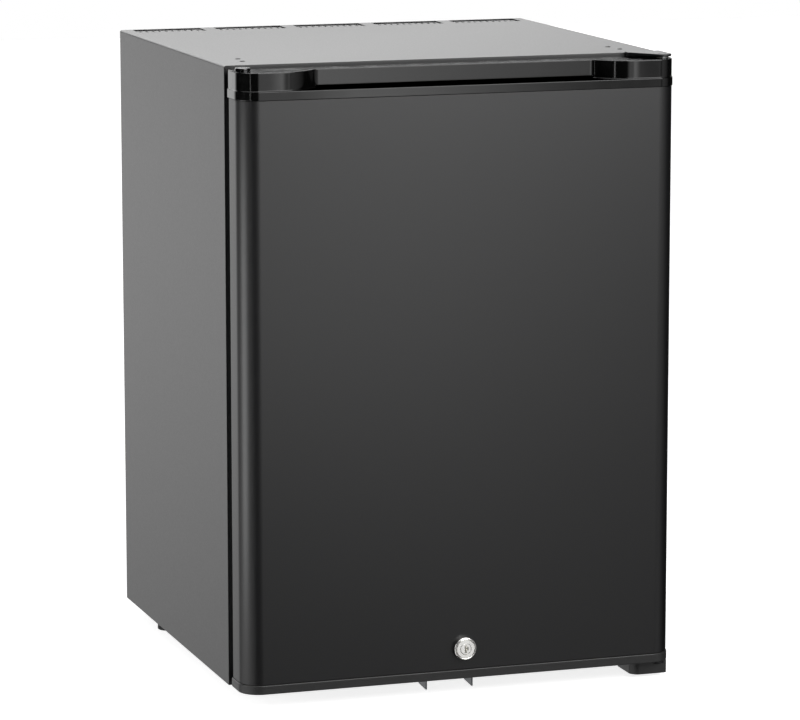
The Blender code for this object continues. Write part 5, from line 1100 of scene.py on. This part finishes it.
class MINIBAR_OT_power(bpy.types.Operator):
    """Terminal box, mains inlet and the heater's lead"""
    bl_idname = "minibar.power"
    bl_label = "Power Inlet"

    def execute(self, context):
        low, high, terminal = box("terminal_box")
        case, inside, rim = tray(low, high, 0.002, 0.003, 0.0015, opening=1)
        grooves = [block((low.x - PAST, low.x + 0.0007),
                         (low.y + 0.008 + i * 0.005, low.y + 0.010 + i * 0.005),
                         (low.z + 0.010, high.z - 0.010)) for i in range(5)]
        add_piece("terminal_case", "terminal_box", worked(case, cut=[inside, rim, *grooves]), "satin_pp",
                  edge=0.0003)
        lead_start = high.z
        low, high, _ = box("mains_inlet")
        x, z = (low.x + high.x) / 2, (low.z + high.z) / 2
        half_width, half_height, shell, corner = 0.0135, 0.010, 0.0015, 0.0045
        plate_front = high.y - 0.002

        def socket_bar(inset, start, end):
            u, v, cut = half_width - inset, half_height - inset, corner - inset * 0.4
            return prism([(x - u, z - v), (x + u, z - v), (x + u, z + v - cut), (x + u - cut, z + v),
                          (x - u + cut, z + v), (x - u, z + v - cut)], start, end, "Y")

        plate = prism(rounded_rectangle((low.x, high.x), (low.z, high.z), 0.003), plate_front, high.y, "Y")
        rim = worked(socket_bar(-0.0012, high.y - 0.0005, high.y + 0.0008),
                     cut=[socket_bar(shell, low.y, high.y + PAST)])
        socket = worked(plate, add=[socket_bar(0, low.y, plate_front + 0.001)],
                        cut=[socket_bar(shell, low.y + shell, high.y + PAST)])
        add_piece("inlet_socket", "mains_inlet", worked(socket, add=[rim]), "satin_pp", edge=0.0003)
        pins = [soft_block(span(x + offset, 0.001), (low.y + 0.001, low.y + shell + 0.012),
                           span(z + lift, 0.002), 0.0004, 2)
                for offset, lift in ((-0.007, -0.001), (0.007, -0.001), (0.0, 0.003))]
        add_piece("inlet_pins", None, merged(*pins), "zinc")
        for number, side in enumerate((-1, 1), start=1):
            place = (x + side * 0.020, high.y, z)
            profile = [(0, 0.0009), (0.0018, 0.0008), (0.0027, 0.0003), (0.0028, 0), (0, 0)]
            cross = cross_recess((place[0], high.y + 0.0003, z), 1, 1, 0.0015, 0.0005, 0.0007)
            add_piece(f"inlet_screw_{number}", None, worked(turned(profile, place, BACKWARD, 40), cut=cross),
                      "zinc")
        jacket_low, _, jacket = box("boiler_jacket")
        lead = rounded_path([(terminal.x, terminal.y, lead_start + GAP),
                             (terminal.x, terminal.y, lead_start + 0.010),
                             (jacket.x, jacket.y, jacket_low.z - 0.010),
                             (jacket.x, jacket.y, jacket_low.z - GAP)], 0.0045, 8)
        add_piece("heater_wire", "heater_lead", tube(lead, 0.003, 20), "rubber")
        return {"FINISHED"}


class MINIBAR_OT_frame_finishes(bpy.types.Operator):
    """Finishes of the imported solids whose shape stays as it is"""
    bl_idname = "minibar.frame_finishes"
    bl_label = "Frame Finishes"

    def execute(self, context):
        for node, finish in (("base_pan", "black_steel"), ("cabinet_foam", "foam"), ("door_foam", "foam"),
                             ("port_plug", "foam"), ("lock_cam", "zinc"), ("lock_nut", "zinc")):
            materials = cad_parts[node].data.materials
            for index in range(len(materials)):
                materials[index] = make_finish(**FINISHES[finish][1])
        return {"FINISHED"}


class MINIBAR_OT_stage(bpy.types.Operator):
    """Camera, surroundings, floor and lamps"""
    bl_idname = "minibar.stage"
    bl_label = "Stage"

    def execute(self, context):
        scene = context.scene
        scene.view_settings.view_transform = "Standard"
        data = bpy.data.cameras.new("camera")
        data.sensor_width = 36.0
        data.lens = 182.43
        data.clip_end = 50.0
        camera = bpy.data.objects.new("camera", data)
        camera.location = (-1.1512, -3.4926, 0.9093)
        camera.rotation_euler = [math.radians(a) for a in (80.148, 0.028, -18.374)]
        scene.collection.objects.link(camera)
        scene.camera = camera

        # White for the camera. Reflections see a pale sweep behind, with a dark line above the horizon.
        # In front they see a dark room with a bright strip, a dim wall at the right and a spot for the
        # lock. There is a pale card at the left, and light overhead
        world = bpy.data.worlds.new("white_surroundings")
        scene.world = world
        world.use_nodes = True
        tree = world.node_tree
        rays = add_node(tree, "ShaderNodeLightPath").outputs
        towards = add_node(tree, "ShaderNodeTexCoord").outputs["Generated"]
        x, y, z = add_node(tree, "ShaderNodeSeparateXYZ", {"Vector": towards}).outputs
        strip_side, spot_middle = [
            add_node(tree, "ShaderNodeVectorMath", {0: towards, 1: axis},
                     operation="DOT_PRODUCT").outputs["Value"]
            for axis in ((0.756, -0.655, 0.0), (0.322, -0.915, -0.242))]

        # Each row: the value that it reads, the value's range, and the levels along that range
        levels = {}
        for name, value, start, end, stops in (
                ("sweep", z, -0.5, 0.7, ((0, .07), (.17, .18), (.25, .34), (.32, .48), (.40, .55),
                                         (.44, .04), (.52, .04), (.57, 1), (.75, .95), (1, .4))),
                ("rear", y, 0.70, 0.90, ((0, 0), (1, 1))),
                ("strip", strip_side, -0.02, 0.02, ((.17, 0), (.18, 1), (.82, 1), (.83, 0))),
                ("wall", y, -1.0, 0.0, ((0, 0), (.12, 0), (.3, .5), (.88, 0), (1, 0))),
                ("right", x, 0.0, 0.3, ((0, 0), (1, 1))),
                ("spot", spot_middle, 0.9945, 0.9985, ((0, 0), (1, 1))),
                ("low", z, -0.12, 0.0, ((0, .02), (1, 0))),
                ("front", y, -0.2, -0.02, ((0, 1), (1, 0))),
                ("left", x, -1.0, 0.0, ((.4, 1), (.5, 0))),
                ("beside", y, -0.7, 0.7, ((0, 0), (.1, 1), (.9, 1), (1, 0))),
                ("floor", z, -0.23, -0.13, ((0, 1), (1, 0))),
                ("overhead", z, 0.7, 0.95, ((0, .004), (1, 1)))):
            share = add_node(tree, "ShaderNodeMapRange", {"Value": value, "From Min": start, "From Max": end})
            ramp = add_node(tree, "ShaderNodeValToRGB", {"Fac": share.outputs[0]}, greys(stops))
            levels[name] = ramp.outputs["Color"]
        # Each row: what the result is called, and the two levels that it is worked out from
        for name, operation, first, second in (
                ("strip", "MULTIPLY", "strip", 3.5), ("wall", "ADD", "wall", "low"),
                ("wall", "MULTIPLY", "wall", "right"), ("ahead", "ADD", "strip", "wall"),
                ("spot", "MULTIPLY", "spot", 1.4), ("ahead", "ADD", "ahead", "spot"),
                ("ahead", "MULTIPLY", "ahead", "front"), ("behind", "MULTIPLY", "sweep", "rear"),
                ("behind", "MULTIPLY", "behind", 2.9), ("overhead", "MULTIPLY", "overhead", 2.4),
                ("mirrored", "ADD", "ahead", "behind"), ("left", "MULTIPLY", "left", "beside"),
                ("left", "MULTIPLY", "left", "floor"), ("left", "MULTIPLY", "left", 1.2),
                ("mirrored", "ADD", "mirrored", "left"), ("mirrored", "ADD", "mirrored", "overhead")):
            values = {0: levels[first], 1: levels.get(second, second)}
            levels[name] = add_node(tree, "ShaderNodeMath", values, operation=operation).outputs[0]
        passed = add_node(tree, "ShaderNodeMath", {0: rays["Is Glossy Ray"], 1: rays["Is Transmission Ray"]},
                          operation="MAXIMUM").outputs[0]
        strength = add_node(tree, "ShaderNodeMix", {"Factor": passed, "A": 0.4, "B": levels["mirrored"]})
        strength = add_node(tree, "ShaderNodeMix",
                            {"Factor": rays["Is Camera Ray"], "A": strength.outputs[0], "B": 1.0})
        tree.links.new(strength.outputs[0], tree.nodes["Background"].inputs["Strength"])
        tree.nodes["Background"].inputs["Color"].default_value = (1, 1, 1, 1)

        # A paper floor that the camera sees as white, and reflections don't see
        bm = bmesh.new()
        bmesh.ops.create_grid(bm, x_segments=1, y_segments=1, size=6.0)
        floor = bpy.data.objects.new("floor", as_mesh(bm))
        scene.collection.objects.link(floor)
        material = bpy.data.materials.new("white_paper_floor")
        material.use_nodes = True
        floor.data.materials.append(material)
        tree = material.node_tree
        shader = tree.nodes["Principled BSDF"]
        shader.inputs["Base Color"].default_value = (*linear("#f4f4f4"), 1)
        shader.inputs["Roughness"].default_value = 0.9
        rays = add_node(tree, "ShaderNodeLightPath").outputs
        lift = add_node(tree, "ShaderNodeMath", {0: rays["Is Camera Ray"], 1: 0.82}, operation="MULTIPLY")
        glow = add_node(tree, "ShaderNodeEmission", {"Color": (1, 1, 1, 1), "Strength": lift.outputs[0]})
        lit = add_node(tree, "ShaderNodeAddShader", {0: shader.outputs[0], 1: glow.outputs[0]}).outputs[0]
        clear = add_node(tree, "ShaderNodeBsdfTransparent").outputs[0]
        seen = add_node(tree, "ShaderNodeMixShader", {0: rays["Is Glossy Ray"], 1: lit, 2: clear})
        tree.links.new(seen.outputs[0], tree.nodes["Material Output"].inputs["Surface"])

        # Soft panels: place, width, height, brightness, and the levels across. Each faces the door
        even = ((0.0, 1.0), (1.0, 1.0))
        uneven = ((0.0, 0.0), (0.083, 0.25), (0.167, 0.465), (0.37, 0.475), (0.43, 0.985), (0.5225, 0.89),
                  (0.59, 0.68), (0.688, 0.38), (0.737, 0.27), (0.777, 0.21), (0.82, 0.18), (0.9, 0.28),
                  (1.0, 0.25))
        for name, place, width, height, brightness, stops in (
                ("front_panel", (0.42, -1.70, 0.29), 1.20, 0.62, 2.1, uneven),
                ("upper_panel", (0.52, -1.60, 1.14), 1.40, 1.00, 6.3, even),
                ("low_card", (0.06, -1.69, 0.12), 0.35, 0.24, 1.1, even),
                ("side_card", (-0.79, -0.22, 0.20), 0.36, 0.44, 3.2, even)):
            light = bpy.data.lights.new(name, "AREA")
            light.shape = "RECTANGLE"
            light.size, light.size_y = width, height
            light.energy = math.pi * width * height
            light.use_nodes = True
            tree = light.node_tree
            surface = add_node(tree, "ShaderNodeNewGeometry").outputs["Parametric"]
            across = add_node(tree, "ShaderNodeSeparateXYZ", {"Vector": surface}).outputs["X"]
            shades = add_node(tree, "ShaderNodeValToRGB", {"Fac": across}, greys(stops)).outputs["Color"]
            tree.nodes["Emission"].inputs["Strength"].default_value = brightness
            tree.links.new(shades, tree.nodes["Emission"].inputs["Color"])
            lamp = bpy.data.objects.new(name, light)
            lamp.location = place
            facing = Vector((-place[0], -0.18 - place[1], 0.0))
            lamp.rotation_euler = facing.to_track_quat("-Z", "Y").to_euler()
            lamp.visible_camera = False
            scene.collection.objects.link(lamp)
        return {"FINISHED"}


class MINIBAR_PT_pieces(bpy.types.Panel):
    """Lists the pieces and their sizes"""
    bl_label = "Minibar"
    bl_idname = "MINIBAR_PT_pieces"
    bl_space_type = "VIEW_3D"
    bl_region_type = "UI"
    bl_category = "Minibar"

    def draw(self, context):
        for group in (sizes(), colours()):
            for name in group.bl_rna.properties.keys():
                if name not in ("rna_type", "name"):
                    self.layout.prop(group, name)
        for operator in OPERATORS:
            self.layout.operator(operator.bl_idname)


OPERATORS = (
    MINIBAR_OT_cabinet_shell,
    MINIBAR_OT_vent_guard,
    MINIBAR_OT_feet,
    MINIBAR_OT_door_skin,
    MINIBAR_OT_door_cap,
    MINIBAR_OT_door_trim,
    MINIBAR_OT_gasket,
    MINIBAR_OT_lock,
    MINIBAR_OT_hinges,
    MINIBAR_OT_strike,
    MINIBAR_OT_screws,
    MINIBAR_OT_pins,
    MINIBAR_OT_cavity,
    MINIBAR_OT_shelves,
    MINIBAR_OT_controls,
    MINIBAR_OT_evaporator,
    MINIBAR_OT_door_liner,
    MINIBAR_OT_rear_wall,
    MINIBAR_OT_cooling_unit,
    MINIBAR_OT_drain,
    MINIBAR_OT_power,
    MINIBAR_OT_frame_finishes,
    MINIBAR_OT_stage,
)
CLASSES = (MinibarSizes, MinibarColours, *OPERATORS, MINIBAR_PT_pieces)


def register():
    for cls in CLASSES:
        bpy.utils.register_class(cls)
    bpy.types.Scene.minibar_sizes = PointerProperty(type=MinibarSizes)
    bpy.types.Scene.minibar_colours = PointerProperty(type=MinibarColours)


def unregister():
    del bpy.types.Scene.minibar_colours
    del bpy.types.Scene.minibar_sizes
    for cls in reversed(CLASSES):
        bpy.utils.unregister_class(cls)


def main():
    register()
    for operator in OPERATORS:
        group, action = operator.bl_idname.split(".")
        getattr(getattr(bpy.ops, group), action)()


if __name__ == "__main__":
    main()
